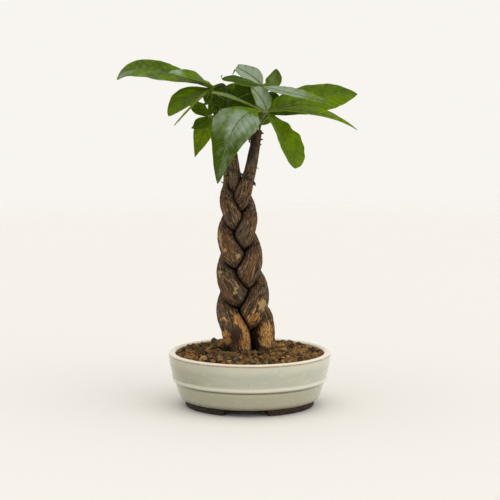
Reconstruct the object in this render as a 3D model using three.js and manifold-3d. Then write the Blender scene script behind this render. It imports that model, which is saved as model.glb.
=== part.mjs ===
// A small money tree: three braided stems tied at the top, six palmate leaves, and a round
// glazed pot on three feet, filled with gravelly soil. Millimetres, +Z up, front towards -Y.
// Everything is laid out from the pot's axis, and the last lines centre the group on its own
// box, with the pot's feet standing on Z = 0.

import * as THREE from 'three';
import { mergeVertices } from 'three/addons/utils/BufferGeometryUtils.js';
import Module from 'manifold-3d';

// ---------------------------------------------------------------- driving dimensions (mm)

const GAP = 0.3; // clearance between pieces that touch
const FULL_TURN = 2 * Math.PI;
const ROUND_SIDES = 40; // facets round the pot and the soil

const POT = {
  holeRadius: 9,
  floorUnder: 5.5,
  floorTop: 10.5,
  rimRadius: 82.5,
  rimHeight: 54.5,
  // outside of the wall from the underside up to the lip, [radius, height]
  outside: [
    [62, 5.5], [66.5, 6.2], [70.2, 8.2], [71.8, 11], [74.2, 18], [76.2, 24.6],
    [78.6, 26.2], [79.2, 28.4], [79, 31.5], [80, 36.5], [81.6, 43], [82.5, 50], [82.5, 53],
  ],
  // over the lip and down the inside, [radius, height]
  inside: [
    [81.4, 54.5], [77, 54.5], [75.4, 53], [74.6, 45], [73, 32], [70, 17], [66.5, 12.4],
    [62, 10.5],
  ],
};

const FEET = {
  inner: 53,
  outer: 65.5,
  height: 6.5, // the top millimetre is inside the pot's underside
  span: 80, // degrees of arc of each foot
  firstFrom: 16.8, // degrees from the front, towards +X, where the first foot starts
  spacing: 120,
};

const DRAIN_MESH = { size: 30, thick: 1.2, bars: 5, barWidth: 2 };

const SOIL = {
  edgeHeight: 50.6,
  crownHeight: 57.5, // at the middle of the mound
  grainRadius: [5.4, 7.4],
  grainPitch: 13,
  grainsOutTo: 66.5,
  seed: 11,
};

// The braid: each stem swings from side to side and passes in front of and behind the others.
const BRAID = {
  bottom: 84,
  top: 226,
  firstLobe: 213, // height of the topmost lobe on the left
  lobeSpacing: 38.6,
  step: 7,
  swing: 10, // sideways, at the height called thin
  swingGrowth: 0.052, // more for each mm further down
  depthShare: 1.1, // front-to-back swing as a share of the sideways swing
  thin: 205,
  radius: 8.4,
  radiusGrowth: 0.039,
  leanFoot: -1, // where the braid's middle stands in X at the soil
  leanTop: -12.3,
  soilHeight: 60,
};

// Stations [x, y, z, radius] below and above the braid, from the bottom up.
const STEMS = [
  {
    name: 'stem_left',
    order: 0,
    foot: [[-9, -5, 26, 7], [-10, -6, 34, 11.5], [-11.5, -7, 46, 13.6], [-12.5, -8, 62, 14.2]],
    top: [[-21.5, 6, 240, 5.2], [-24, 6.5, 260, 4.2], [-27, 7.5, 284, 3.4]],
  },
  {
    name: 'stem_middle',
    order: 2,
    foot: [[9, 2, 26, 7], [12, 2, 36, 10], [14, 1.5, 48, 11.4], [14, 2, 62, 11.8]],
    top: [[-15.2, -4, 239, 5.8], [-17, -3.5, 257, 4.4], [-20, -1, 279, 3.8]],
  },
  {
    name: 'stem_right',
    order: 1,
    foot: [[-1, 16, 26, 7], [-1.5, 16.5, 36, 9.6], [-2, 16, 48, 10.8], [-3.5, 14, 64, 11]],
    top: [[0.2, -3, 238, 6.1], [4.4, -3, 259, 5.4], [7.6, -3, 280, 4.9]],
  },
];
const STEM_SIDES = 10;
const STEM_STEPS = 38;

// The wire round the stem tops: two taut turns that drop faster to the right of a bend.
const TIE = {
  bend: [-9, 238.6], // its x and height
  slopes: [-0.15, -0.95], // mm of height for each mm in X, left and right of the bend
  radius: 0.6,
  turns: 2,
  turnRise: 1.6,
  pointsPerTurn: 30,
  steps: 56,
  sides: 5,
  clearance: 1.1,
};

const BLADE = {
  thick: 0.85,
  stations: 8,
  stalkHalfWidth: 0.9,
  tipHalfWidth: 0.5,
  hubRadius: 2.6,
};
const PETIOLE = { sides: 6, steps: 9, radius: 1.35 };

// Leaves. Each has a stalk from its stem to its hub, and leaflets that leave the hub.
// A leaflet is [mid, tip, face, width, widest, fold, droop, base, point]: two points on its
// midrib, the way its upper face looks halfway along, its width, where it is widest (0 to 1),
// its fold in degrees, how far its tip curls down, and how its outline closes at its stalk and
// at its tip: over 1 draws the outline in, under 1 keeps it broad.
const LEAVES = [
  {
    name: 'leaf_front_right',
    stalk: [[7, -1, 268], [6.6, 3.4, 279], [10, 0, 287], [17, -4, 298]],
    leaflets: [
      [[-12.5, -36, 285.5], [-31.5, -50, 229.5], [-0.4, -0.8, 0.4], 48, 0.5, 7, 0, 3.2, 0.85],
      [[34.5, -14, 272], [45.5, -22, 242.5], [0.66, -0.62, 0.4], 35, 0.64, 20, 0, 0.6, 0.42],
      [[60, -20, 297.5], [106, -30, 284.5], [0.1, -0.25, 0.97], 21, 0.42, 6, 3, 1.2, 1.1],
      [[64, 12, 310.5], [109.5, 26, 316], [-0.1, -0.7, 0.7], 40, 0.5, 2, 1, 0.45, 0.8],
      [[12, -3, 311], [1, -9, 323], [0.35, -0.8, 0.45], 21, 0.5, 10, 0, 1, 0.6],
      [[-11.5, -16, 310.5], [-38, -22, 318], [0, -0.3, 0.95], 13, 0.72, 10, 0, 1.2, 0.6],
    ],
  },
  {
    name: 'leaf_top',
    stalk: [[6, 3, 262], [5.5, 8, 276], [8.5, 9, 284], [13, 10, 295], [13, 4, 323]],
    leaflets: [
      [[1, 12, 334], [-17.5, 18, 343.5], [-0.2, -0.55, 0.8], 20, 0.49, 10, 0, 1.2, 0.5],
      [[23.5, 12, 326.5], [26.5, 16, 340.5], [-0.3, -0.75, 0.45], 18, 0.55, 10, 0, 1, 0.7],
      [[47, -20, 315.5], [82, -38, 308], [0.1, -0.4, 0.9], 21, 0.4, 10, 2, 1.2, 0.7],
      [[-6.5, -6, 331], [-27.5, -12, 330.5], [0, -0.26, 0.97], 23, 0.5, -5, 0, 1.2, 0.7],
      [[-2.5, 9, 315], [-22, 12, 308], [0.1, -0.95, 0.25], 27, 0.5, 8, 0, 0.8, 0.7],
      [[14.5, 34, 325], [13, 66, 316], [0, 0.3, 0.95], 27, 0.5, 10, 4, 1.2, 0.7],
    ],
  },
  {
    name: 'leaf_left',
    stalk: [[-20, -1, 270], [-21.5, 2, 290], [-22, 2, 314], [-26.5, 1, 325], [-38, 0, 322]],
    leaflets: [
      [[-87, 4, 337], [-133.5, 8, 344.5], [0, -0.47, 0.88], 37, 0.62, 6, 13, 1.2, 0.32],
      [[-56, -16, 332], [-80, -26, 337], [0, -0.42, 0.9], 28, 0.34, 15, 0, 0.8, 0.6],
      [[-60, -12, 313], [-80.5, -22, 295.5], [-0.4, -0.55, 0.75], 35, 0.56, 10, 1, 1.2, 0.7],
      [[-55.5, -26, 306.5], [-74, -44, 286.5], [-0.75, -0.05, 0.66], 13, 0.5, 6, 0, 1.2, 0.7],
      [[-30, 17, 312.5], [-14, 22, 305], [-0.1, -0.9, 0.3], 25, 0.5, 8, 0, 1.2, 0.7],
      [[-58.5, 30, 328], [-81.5, 58, 330.5], [-0.1, 0.3, 0.95], 28, 0.5, 9, 3, 1.2, 0.7],
    ],
  },
  {
    name: 'leaf_low_left',
    stalk: [[-26.6, 7.4, 275], [-28, 6, 288], [-33, 3, 292.5], [-40, 0, 293]],
    leaflets: [
      [[-50, 8, 299], [-59.5, 14, 304], [0.1, -0.75, 0.6], 14, 0.5, 8, 0, 0.9, 0.7],
      [[-47, 2, 275.5], [-55.5, 4, 252], [-0.3, -0.85, 0.35], 22, 0.4, 12, 0, 1, 1],
      [[-48.5, -8, 285], [-58, -14, 282.5], [-0.2, -0.75, 0.5], 17, 0.42, 12, 0, 0.9, 1],
      [[-46.5, 24, 284.5], [-52.5, 44, 265], [-0.1, 0.4, 0.9], 20, 0.5, 9, 1, 1.2, 0.7],
      [[-56.5, 22, 304], [-67.5, 40, 308.5], [-0.1, 0.1, 0.98], 20, 0.5, 9, 1, 1.2, 0.7],
    ],
  },
  {
    name: 'leaf_back_right',
    stalk: [
      [6.5, 1, 254], [8.5, 7, 264], [9.5, 12, 276],
      [11, 14.5, 284], [18, 19.5, 292], [28, 26, 304],
    ],
    leaflets: [
      [[54, 50, 309], [82.5, 68, 303.5], [0.1, 0.3, 0.95], 30, 0.5, 9, 3, 1.2, 0.7],
      [[41.5, 54, 309], [53, 82, 299.5], [0, 0.3, 0.95], 32, 0.5, 9, 4, 1.2, 0.7],
      [[23.5, 28, 310], [18.5, 32, 316.5], [0, -0.9, 0.4], 14, 0.5, 9, 0, 0.9, 0.6],
      [[14.5, 18, 293], [-2.5, 14, 301], [0.1, -0.9, -0.3], 19, 0.5, 8, 0, 1.2, 0.7],
    ],
  },
  {
    name: 'leaf_back',
    stalk: [[-23.5, 6.5, 257], [-22, 14, 270], [-17, 22, 290], [-14, 28, 306]],
    leaflets: [
      [[-22.5, 54, 310], [-29, 84, 297.5], [-0.05, 0.3, 0.95], 33, 0.5, 9, 5, 1.2, 0.7],
      [[0.5, 54, 311], [11, 82, 298.5], [0.1, 0.3, 0.95], 24, 0.5, 9, 3, 1.2, 0.7],
      [[-31.5, 42, 307.5], [-48.5, 56, 303.5], [0, -0.6, 0.8], 18, 0.5, 9, 0, 1.2, 0.7],
      [[-14, 36, 317.5], [-15, 46, 322.5], [0, -0.7, 0.7], 20, 0.5, 9, 0, 1.2, 0.7],
      [[-7, 24, 288.5], [0.5, 20, 267.5], [0.4, 0.8, 0.3], 18, 0.5, 9, 0, 1.2, 0.7],
    ],
  },
];

const COLOURS = {
  pot: '#b9b69d',
  drain_mesh: '#2f3330',
  soil: '#6e5636',
  stem: '#4c3d2e',
  tie_wire: '#2c3a24',
  leaf: '#4d6a16',
};

// ---------------------------------------------------------------- solids and booleans

const wasm = await Module();
wasm.setup();

/** Makes a closed geometry a solid that can be joined and cut. */
function solidFrom(geometry) {
  const bare = geometry.clone();
  bare.deleteAttribute('normal');
  bare.deleteAttribute('uv');
  const welded = mergeVertices(bare, 1e-4);
  return new wasm.Manifold(new wasm.Mesh({
    numProp: 3,
    vertProperties: new Float32Array(welded.getAttribute('position').array),
    triVerts: new Uint32Array(welded.getIndex().array),
  }));
}

/** Turns a solid back into a geometry. */
function geometryFrom(solid) {
  const mesh = solid.getMesh();
  const geometry = new THREE.BufferGeometry();
  geometry.setAttribute('position', new THREE.BufferAttribute(mesh.vertProperties, 3));
  geometry.setIndex(new THREE.BufferAttribute(mesh.triVerts, 1));
  geometry.computeVertexNormals();
  return geometry;
}

/** Joins a list of solids into one. */
function joined(solids) {
  return solids.reduce((whole, solid) => whole.add(solid));
}

/** Makes an indexed geometry from a list of points and a list of triangles. */
function geometryOf(points, triangles) {
  const geometry = new THREE.BufferGeometry().setFromPoints(points);
  geometry.setIndex(triangles);
  return geometry;
}

/** Returns numbers from 0 to 1 that are the same on every run. */
function seededRandom(seed) {
  let state = seed;
  return () => {
    state = (state * 1664525 + 1013904223) % 4294967296;
    return state / 4294967296;
  };
}

/** A solid tube along a curve, closed at both ends, whose radius follows radiusAt(point). */
function tube(curve, radiusAt, steps, sides) {
  const frames = curve.computeFrenetFrames(steps, false);
  const points = [];
  const triangles = [];
  for (let ring = 0; ring <= steps; ring += 1) {
    const centre = curve.getPointAt(ring / steps);
    const radius = radiusAt(centre);
    for (let side = 0; side < sides; side += 1) {
      const angle = (FULL_TURN * side) / sides;
      points.push(centre.clone()
        .addScaledVector(frames.normals[ring], radius * Math.cos(angle))
        .addScaledVector(frames.binormals[ring], radius * Math.sin(angle)));
    }
  }
  const startPole = points.push(curve.getPointAt(0)) - 1;
  const endPole = points.push(curve.getPointAt(1)) - 1;
  const last = steps * sides;
  for (let side = 0; side < sides; side += 1) {
    const next = (side + 1) % sides;
    triangles.push(startPole, next, side, endPole, last + side, last + next);
    for (let ring = 0; ring < steps; ring += 1) {
      const here = ring * sides;
      const above = here + sides;
      triangles.push(here + side, here + next, above + next);
      triangles.push(here + side, above + next, above + side);
    }
  }
  return solidFrom(geometryOf(points, triangles));
}

// ---------------------------------------------------------------- pot, mesh and soil

/** Spins a closed profile of [radius, height] pairs about the Z axis. */
function turned(profile) {
  const outline = profile.map(([radius, height]) => new THREE.Vector2(radius, height));
  const geometry = new THREE.LatheGeometry(outline, ROUND_SIDES);
  geometry.rotateX(Math.PI / 2);
  return solidFrom(geometry);
}

/** One foot: a block curved round the pot's axis, starting at an angle from the front. */
function foot(from) {
  const start = THREE.MathUtils.degToRad(from - 90);
  const end = THREE.MathUtils.degToRad(from + FEET.span - 90);
  const outline = new THREE.Shape();
  outline.absarc(0, 0, FEET.outer, start, end, false);
  outline.absarc(0, 0, FEET.inner, end, start, true);
  outline.closePath();
  const settings = { depth: FEET.height, bevelEnabled: false, curveSegments: 9 };
  return solidFrom(new THREE.ExtrudeGeometry(outline, settings));
}

/** The pot, fired in one piece: turned body, drain hole and three feet. */
function pot() {
  const underside = [POT.holeRadius, POT.floorUnder];
  const floor = [POT.holeRadius, POT.floorTop];
  const profile = [underside, ...POT.outside, ...POT.inside, floor, underside];
  const feet = [0, 1, 2].map((index) => foot(FEET.firstFrom + index * FEET.spacing));
  return joined([turned(profile), ...feet]);
}

/** The square of plastic netting that keeps soil from the drain hole: bars both ways. */
function drainMesh() {
  const { size, thick, bars, barWidth } = DRAIN_MESH;
  const pitch = (size - barWidth) / (bars - 1);
  const lift = POT.floorTop + GAP + thick / 2;
  const netting = [];
  for (let index = 0; index < bars; index += 1) {
    const offset = (barWidth - size) / 2 + index * pitch;
    const lengthwise = new THREE.BoxGeometry(size, barWidth, thick);
    lengthwise.translate(0, offset, lift);
    const crosswise = new THREE.BoxGeometry(barWidth, size, thick);
    crosswise.translate(offset, 0, lift);
    netting.push(solidFrom(lengthwise), solidFrom(crosswise));
  }
  return joined(netting);
}

/** Height of the soil's surface under its grains, at a distance from the pot's axis. */
function soilHeight(radius) {
  const share = Math.min(radius / POT.rimRadius, 1);
  return SOIL.edgeHeight + (SOIL.crownHeight - SOIL.edgeHeight) * (1 - share ** 1.6);
}

/** Soil that fills the pot, covered with grains and pierced by the stems. */
function soil(stemHoles) {
  const wall = POT.inside.slice(3).reverse().map(([radius, height]) => [radius - GAP, height]);
  wall[0] = [wall[0][0], POT.floorTop + GAP];
  const edgeRadius = POT.inside[2][0] - 2 * GAP;
  const surface = [1, 0.85, 0.65, 0.4, 0].map((share) => {
    const radius = share * edgeRadius;
    return [radius, soilHeight(radius)];
  });
  const body = turned([[0, POT.floorTop + GAP], ...wall, ...surface]);
  const recess = new THREE.BoxGeometry(
    DRAIN_MESH.size + 2 * GAP,
    DRAIN_MESH.size + 2 * GAP,
    2 * (DRAIN_MESH.thick + 2 * GAP),
  );
  recess.translate(0, 0, POT.floorTop);
  const filled = joined([body, ...grains(stemHoles)]);
  return filled.subtract(solidFrom(recess)).subtract(stemHoles);
}

/** Grains on the soil, along a spiral that spaces them evenly, clear of the stems. */
function grains(stemHoles) {
  const random = seededRandom(SOIL.seed);
  const [smallest, largest] = SOIL.grainRadius;
  const goldenAngle = Math.PI * (3 - Math.sqrt(5));
  const count = Math.round(Math.PI * SOIL.grainsOutTo ** 2 / SOIL.grainPitch ** 2);
  const pieces = [];
  for (let index = 0; index < count; index += 1) {
    const distance = SOIL.grainsOutTo * Math.sqrt((index + 0.5) / count);
    const angle = index * goldenAngle;
    const radius = THREE.MathUtils.lerp(smallest, largest, random());
    const grain = new THREE.IcosahedronGeometry(radius, 0);
    grain.rotateX(FULL_TURN * random());
    grain.rotateZ(FULL_TURN * random());
    grain.scale(1, 1, 0.8);
    const sunk = 0.3 * radius;
    grain.translate(
      distance * Math.cos(angle),
      distance * Math.sin(angle),
      soilHeight(distance) - sunk,
    );
    const solid = solidFrom(grain);
    if (solid.intersect(stemHoles).isEmpty()) pieces.push(solid);
  }
  return pieces;
}

// ---------------------------------------------------------------- stems and tie

/** Where the middle of the braid stands in X at a height. */
function lean(height) {
  const fall = (BRAID.top - height) / (BRAID.top - BRAID.soilHeight);
  return BRAID.leanTop + (BRAID.leanFoot - BRAID.leanTop) * fall ** 2;
}

/** A station [x, y, z, radius] of one stem of the braid, order 0 to 2. */
function braidStation(order, height) {
  const below = BRAID.thin - height;
  const fromLobe = BRAID.firstLobe - order * BRAID.lobeSpacing - height;
  const phase = (FULL_TURN * fromLobe) / (3 * BRAID.lobeSpacing) - Math.PI / 2;
  const swing = BRAID.swing + BRAID.swingGrowth * below;
  return [
    lean(height) + swing * Math.sin(phase),
    BRAID.depthShare * swing * Math.sin(2 * phase),
    height,
    BRAID.radius + BRAID.radiusGrowth * below,
  ];
}

/** All the stations of a stem, from its foot in the soil to its top. */
function stemStations(stem) {
  const stations = [...stem.foot];
  for (let height = BRAID.bottom; height <= BRAID.top; height += BRAID.step) {
    stations.push(braidStation(stem.order, height));
  }
  return [...stations, ...stem.top];
}

/** The curve through a list of stations. */
function curveThrough(stations) {
  const points = stations.map(([x, y, z]) => new THREE.Vector3(x, y, z));
  return new THREE.CatmullRomCurve3(points, false, 'centripetal');
}

/** A stem's radius at a height, between the stations above and below it. */
function stemRadius(stations, height) {
  const upper = stations.findIndex((station) => station[2] >= height);
  if (upper < 0) return stations.at(-1)[3];
  if (upper === 0) return stations[0][3];
  const below = stations[upper - 1];
  const above = stations[upper];
  const share = (height - below[2]) / (above[2] - below[2]);
  return THREE.MathUtils.lerp(below[3], above[3], share);
}

/** A stem as a round tube, made thicker all over by extra. */
function stemSolid(stem, extra) {
  const stations = stemStations(stem);
  const radiusAt = (point) => stemRadius(stations, point.z) + extra;
  return tube(curveThrough(stations), radiusAt, STEM_STEPS, STEM_SIDES);
}

/** The three stems, each cut where an earlier one presses into it or a leaf stalk grows. */
function braidedStems(stalkSockets) {
  const pressed = STEMS.map((stem) => stemSolid(stem, GAP));
  return STEMS.map((stem, index) => {
    const whole = stemSolid(stem, 0);
    const cut = pressed.slice(0, index).reduce((rest, other) => rest.subtract(other), whole);
    return cut.subtract(stalkSockets);
  });
}

/** Height of the tie at a place in X. */
function tieHeight(x) {
  const away = x - TIE.bend[0];
  return TIE.bend[1] + TIE.slopes[away < 0 ? 0 : 1] * away;
}

/** The round sections of a stem at the tie's height, each [x, y, radius]. */
function sectionsAtTie(stem) {
  const stations = stemStations(stem);
  return curveThrough(stations).getSpacedPoints(400).flatMap((point) => {
    const radius = stemRadius(stations, point.z);
    const off = point.z - tieHeight(point.x);
    return Math.abs(off) < radius ? [[point.x, point.y, Math.sqrt(radius ** 2 - off ** 2)]] : [];
  });
}

/** The tie: a wire wound taut round the three stems, twice. */
function tieWire() {
  const sections = STEMS.flatMap(sectionsAtTie);
  const outset = TIE.radius + TIE.clearance;
  const points = [];
  for (let index = 0; index <= TIE.turns * TIE.pointsPerTurn; index += 1) {
    const turn = index / TIE.pointsPerTurn;
    const angle = FULL_TURN * turn + Math.PI / 2;
    const reach = ([x, y, radius]) => x * Math.cos(angle) + y * Math.sin(angle) + radius;
    const held = sections.reduce((best, next) => (reach(next) > reach(best) ? next : best));
    const x = held[0] + (held[2] + outset) * Math.cos(angle);
    const y = held[1] + (held[2] + outset) * Math.sin(angle);
    points.push(new THREE.Vector3(x, y, tieHeight(x) + TIE.turnRise * (turn - 1)));
  }
  const curve = new THREE.CatmullRomCurve3(points, false, 'centripetal');
  return tube(curve, () => TIE.radius, TIE.steps, TIE.sides);
}

// ---------------------------------------------------------------- leaves

/** Half the width of a leaflet at a share of its length, from its stalk to its tip. */
function halfWidth(share, width, widest, base, point) {
  const power = Math.log(0.5) / Math.log(widest);
  const fullness = THREE.MathUtils.lerp(base, point, share);
  const swell = Math.sin(Math.PI * share ** power) ** fullness;
  const ends = THREE.MathUtils.lerp(BLADE.stalkHalfWidth, BLADE.tipHalfWidth, share);
  return Math.max(ends, (width / 2) * swell);
}

/** One leaflet: a thin blade, arched along its midrib and folded up a little on each side. */
function leaflet(root, [mid, tip, face, width, widest, fold, droop, base, point]) {
  const middle = new THREE.Vector3(...mid);
  const end = new THREE.Vector3(...tip);
  const bend = middle.clone().multiplyScalar(2).addScaledVector(root, -0.5)
    .addScaledVector(end, -0.5);
  const midrib = new THREE.QuadraticBezierCurve3(root, bend, end);
  const lift = Math.sin(THREE.MathUtils.degToRad(fold));
  const spread = Math.cos(THREE.MathUtils.degToRad(fold));
  const upper = [];
  const lower = [];
  for (let station = 0; station <= BLADE.stations; station += 1) {
    const share = station / BLADE.stations;
    const along = midrib.getTangent(share);
    const up = new THREE.Vector3(...face).projectOnPlane(along).normalize();
    const across = along.clone().cross(up);
    const centre = midrib.getPoint(share);
    centre.z -= droop * share ** 8;
    const half = halfWidth(share, width, widest, base, point);
    for (const side of [-1, 0, 1]) {
      const edge = centre.clone()
        .addScaledVector(across, side * half * spread)
        .addScaledVector(up, Math.abs(side) * half * lift);
      upper.push(edge.clone().addScaledVector(up, BLADE.thick / 2));
      lower.push(edge.clone().addScaledVector(up, -BLADE.thick / 2));
    }
  }
  return solidFrom(geometryOf([...upper, ...lower], bladeTriangles(upper.length)));
}

/** Triangles of a blade three points wide, split alike on both faces, closed all round. */
function bladeTriangles(lowerStart) {
  const triangles = [];
  const quad = (a, b, c, d) => triangles.push(a, b, c, a, c, d);
  for (let station = 0; station < BLADE.stations; station += 1) {
    const here = station * 3;
    const next = here + 3;
    for (const column of [0, 1]) {
      const [a, b, c, d] = [here + column, here + column + 1, next + column + 1, next + column];
      quad(a, b, c, d);
      triangles.push(lowerStart + a, lowerStart + c, lowerStart + b);
      triangles.push(lowerStart + a, lowerStart + d, lowerStart + c);
    }
    quad(here, next, lowerStart + next, lowerStart + here);
    quad(here + 2, lowerStart + here + 2, lowerStart + next + 2, next + 2);
  }
  const last = BLADE.stations * 3;
  for (const column of [0, 1]) {
    quad(column + 1, column, lowerStart + column, lowerStart + column + 1);
    quad(last + column, last + column + 1, lowerStart + last + column + 1,
      lowerStart + last + column);
  }
  return triangles;
}

/** A leaf's stalk, made thicker all over by extra. */
function stalk(leaf, extra) {
  return tube(curveThrough(leaf.stalk), () => PETIOLE.radius + extra, PETIOLE.steps,
    PETIOLE.sides);
}

/** The socket that a leaf's stalk leaves in a stem: its first stretch, a little larger. */
function stalkSocket(leaf) {
  const [first, second] = leaf.stalk.map((point) => new THREE.Vector3(...point));
  const back = first.clone().addScaledVector(second.clone().sub(first).normalize(), -GAP);
  const stations = [back.toArray(), ...leaf.stalk.slice(1)];
  return tube(curveThrough(stations), () => PETIOLE.radius + 1.5 * GAP, PETIOLE.steps,
    PETIOLE.sides);
}

/** A whole leaf: stalk, hub and leaflets, grown as one. */
function leafSolid(leaf) {
  const root = new THREE.Vector3(...leaf.stalk.at(-1));
  const hub = new THREE.IcosahedronGeometry(BLADE.hubRadius, 0);
  hub.translate(root.x, root.y, root.z);
  const blades = leaf.leaflets.map((shape) => leaflet(root, shape));
  return joined([stalk(leaf, 0), solidFrom(hub), ...blades]);
}

// ---------------------------------------------------------------- the assembly

const group = new THREE.Group();

/** Adds a named piece to the group. */
function place(name, solid, colour, roughness) {
  const material = new THREE.MeshStandardMaterial({ color: colour, roughness, metalness: 0 });
  const mesh = new THREE.Mesh(geometryFrom(solid), material);
  mesh.name = name;
  group.add(mesh);
}

const stemHoles = joined(STEMS.map((stem) => stemSolid(stem, GAP)));
const stalkSockets = joined(LEAVES.map(stalkSocket));

place('pot', pot(), COLOURS.pot, 0.3);
place('drain_mesh', drainMesh(), COLOURS.drain_mesh, 0.6);
place('soil', soil(stemHoles), COLOURS.soil, 0.95);
braidedStems(stalkSockets).forEach((solid, index) => {
  place(STEMS[index].name, solid, COLOURS.stem, 0.85);
});
place('tie_wire', tieWire(), COLOURS.tie_wire, 0.4);
LEAVES.forEach((leaf) => place(leaf.name, leafSolid(leaf), COLOURS.leaf, 0.45));

const box = new THREE.Box3().setFromObject(group);
const middle = box.getCenter(new THREE.Vector3());
group.position.set(-middle.x, -middle.y, -box.min.z);

export default group;
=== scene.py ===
"""Looks of a potted money tree: braided stems, palmate leaves, gravelly soil and a glazed pot."""

import logging
import math
import random
from collections.abc import Iterable, Sequence
from dataclasses import dataclass, field
from enum import Enum

import bpy
from mathutils import Euler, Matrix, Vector, noise
from mathutils.kdtree import KDTree


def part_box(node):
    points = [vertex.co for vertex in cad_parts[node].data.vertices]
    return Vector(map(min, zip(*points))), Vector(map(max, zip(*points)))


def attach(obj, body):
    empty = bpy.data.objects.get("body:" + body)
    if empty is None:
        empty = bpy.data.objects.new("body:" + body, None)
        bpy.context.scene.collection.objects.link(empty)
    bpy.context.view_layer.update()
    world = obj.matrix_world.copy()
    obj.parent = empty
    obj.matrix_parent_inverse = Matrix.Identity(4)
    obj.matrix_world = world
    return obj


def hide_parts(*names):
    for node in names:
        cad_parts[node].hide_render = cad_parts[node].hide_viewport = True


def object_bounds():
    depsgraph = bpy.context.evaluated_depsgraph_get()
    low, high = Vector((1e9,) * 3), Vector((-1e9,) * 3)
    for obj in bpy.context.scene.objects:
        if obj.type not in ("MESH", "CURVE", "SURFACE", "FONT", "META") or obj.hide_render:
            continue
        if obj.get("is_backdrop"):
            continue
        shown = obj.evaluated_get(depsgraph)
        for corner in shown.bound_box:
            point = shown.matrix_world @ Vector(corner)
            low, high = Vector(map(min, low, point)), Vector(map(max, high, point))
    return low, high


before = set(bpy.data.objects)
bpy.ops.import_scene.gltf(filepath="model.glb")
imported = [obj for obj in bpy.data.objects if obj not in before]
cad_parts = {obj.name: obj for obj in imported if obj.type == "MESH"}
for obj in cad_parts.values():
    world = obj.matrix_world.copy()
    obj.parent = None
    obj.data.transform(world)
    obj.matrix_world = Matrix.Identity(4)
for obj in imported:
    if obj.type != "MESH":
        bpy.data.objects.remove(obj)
CAD_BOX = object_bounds()

LOG = logging.getLogger("money_tree")
MM = 0.001
BODY = "root"
TURN = 2 * math.pi
VEIN_GAP = 8.2  # millimetres from one side vein of a leaflet to the next
VEIN_SWEEP = 0.62  # how far a side vein leans towards the tip
VEIN_CURVE = 0.012  # how much more it leans for each millimetre towards the edge
POT_LOW, POT_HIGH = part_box("pot")
AXIS = Vector(((POT_LOW.x + POT_HIGH.x) / 2, (POT_LOW.y + POT_HIGH.y) / 2, 0.0))

Colour = tuple[float, float, float, float]
Point = tuple[float, float, float]


def srgb(red: float, green: float, blue: float) -> Colour:
    """Returns the linear colour of three 8-bit sRGB numbers."""

    def linear(value: float) -> float:
        """Undoes the sRGB curve."""
        share = value / 255
        return share / 12.92 if share <= 0.04045 else ((share + 0.055) / 1.055) ** 2.4

    return (linear(red), linear(green), linear(blue), 1.0)


def at(point: Sequence[float]) -> Vector:
    """Returns the place in the frame of a point in millimetres from the pot's axis."""
    return AXIS + Vector(point[:3]) * MM


def smooth(low: float, high: float, value: float) -> float:
    """Returns a smooth step from 0 at low to 1 at high."""
    share = min(max((value - low) / (high - low), 0.0), 1.0)
    return share * share * (3 - 2 * share)


def mix(first: float, second: float, share: float) -> float:
    """Returns the number that lies a share of the way from first to second."""
    return first + (second - first) * share


def vein_count(
    along: "Signal | float", reach: "Signal | float", wander: "Signal | float"
) -> "Signal | float":
    """Counts the side veins of a leaflet up to a point of its blade.

    Args:
        along: How far along the midrib the point is, in millimetres.
        reach: How far it is from the midrib.
        wander: How far the veins stray there.

    Returns:
        The count, whole numbers of which are one vein apart.
    """
    return (along - reach * VEIN_SWEEP - reach * reach * VEIN_CURVE + wander) / VEIN_GAP


class Slot(Enum):
    """The names of the record's material slots."""

    GLAZE = "glaze"
    SOIL = "soil"
    BARK = "bark"
    WIRE = "wire"
    LEAF = "leaf"


# ---------------------------------------------------------------- shader arithmetic


class Signal:
    """A shader socket on which Python arithmetic works, one Math node for each sign."""

    def __init__(self, board: "Board", socket: bpy.types.NodeSocket) -> None:
        """Wraps an output socket of a board."""
        self.board = board
        self.socket = socket

    def _sum(self, operation: str, *values: "Signal | float") -> "Signal":
        """Adds a Math node that works on the values in order."""
        return self.board.node(
            "ShaderNodeMath", {"operation": operation}, dict(enumerate(values))
        )

    def __add__(self, other: "Signal | float") -> "Signal":
        """Adds."""
        return self._sum("ADD", self, other)

    __radd__ = __add__

    def __mul__(self, other: "Signal | float") -> "Signal":
        """Multiplies."""
        return self._sum("MULTIPLY", self, other)

    __rmul__ = __mul__

    def __sub__(self, other: "Signal | float") -> "Signal":
        """Takes other away."""
        return self._sum("SUBTRACT", self, other)

    def __rsub__(self, other: float) -> "Signal":
        """Takes the signal away from a number."""
        return self._sum("SUBTRACT", other, self)

    def __truediv__(self, other: "Signal | float") -> "Signal":
        """Divides."""
        return self._sum("DIVIDE", self, other)

    def __pow__(self, other: "Signal | float") -> "Signal":
        """Raises to a power."""
        return self._sum("POWER", self, other)

    def __abs__(self) -> "Signal":
        """Drops the sign."""
        return self._sum("ABSOLUTE", self)

    def fraction(self) -> "Signal":
        """Keeps what follows the decimal point."""
        return self._sum("FRACT", self)

    def greatest(self, other: "Signal | float") -> "Signal":
        """Takes the larger of two."""
        return self._sum("MAXIMUM", self, other)

    def step(self, low: float, high: float) -> "Signal":
        """Steps smoothly from 0 at low to 1 at high, or down where low is the larger."""
        start, end = (0.0, 1.0) if low < high else (1.0, 0.0)
        settings = {"interpolation_type": "SMOOTHSTEP"}
        inputs = {0: self, 1: min(low, high), 2: max(low, high), 3: start, 4: end}
        return self.board.node("ShaderNodeMapRange", settings, inputs)

    def band(self, centre: float, half: float) -> "Signal":
        """Makes a soft hump of height 1 and the given half width round a value."""
        return abs(self - centre).step(half, 0.0)


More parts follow.
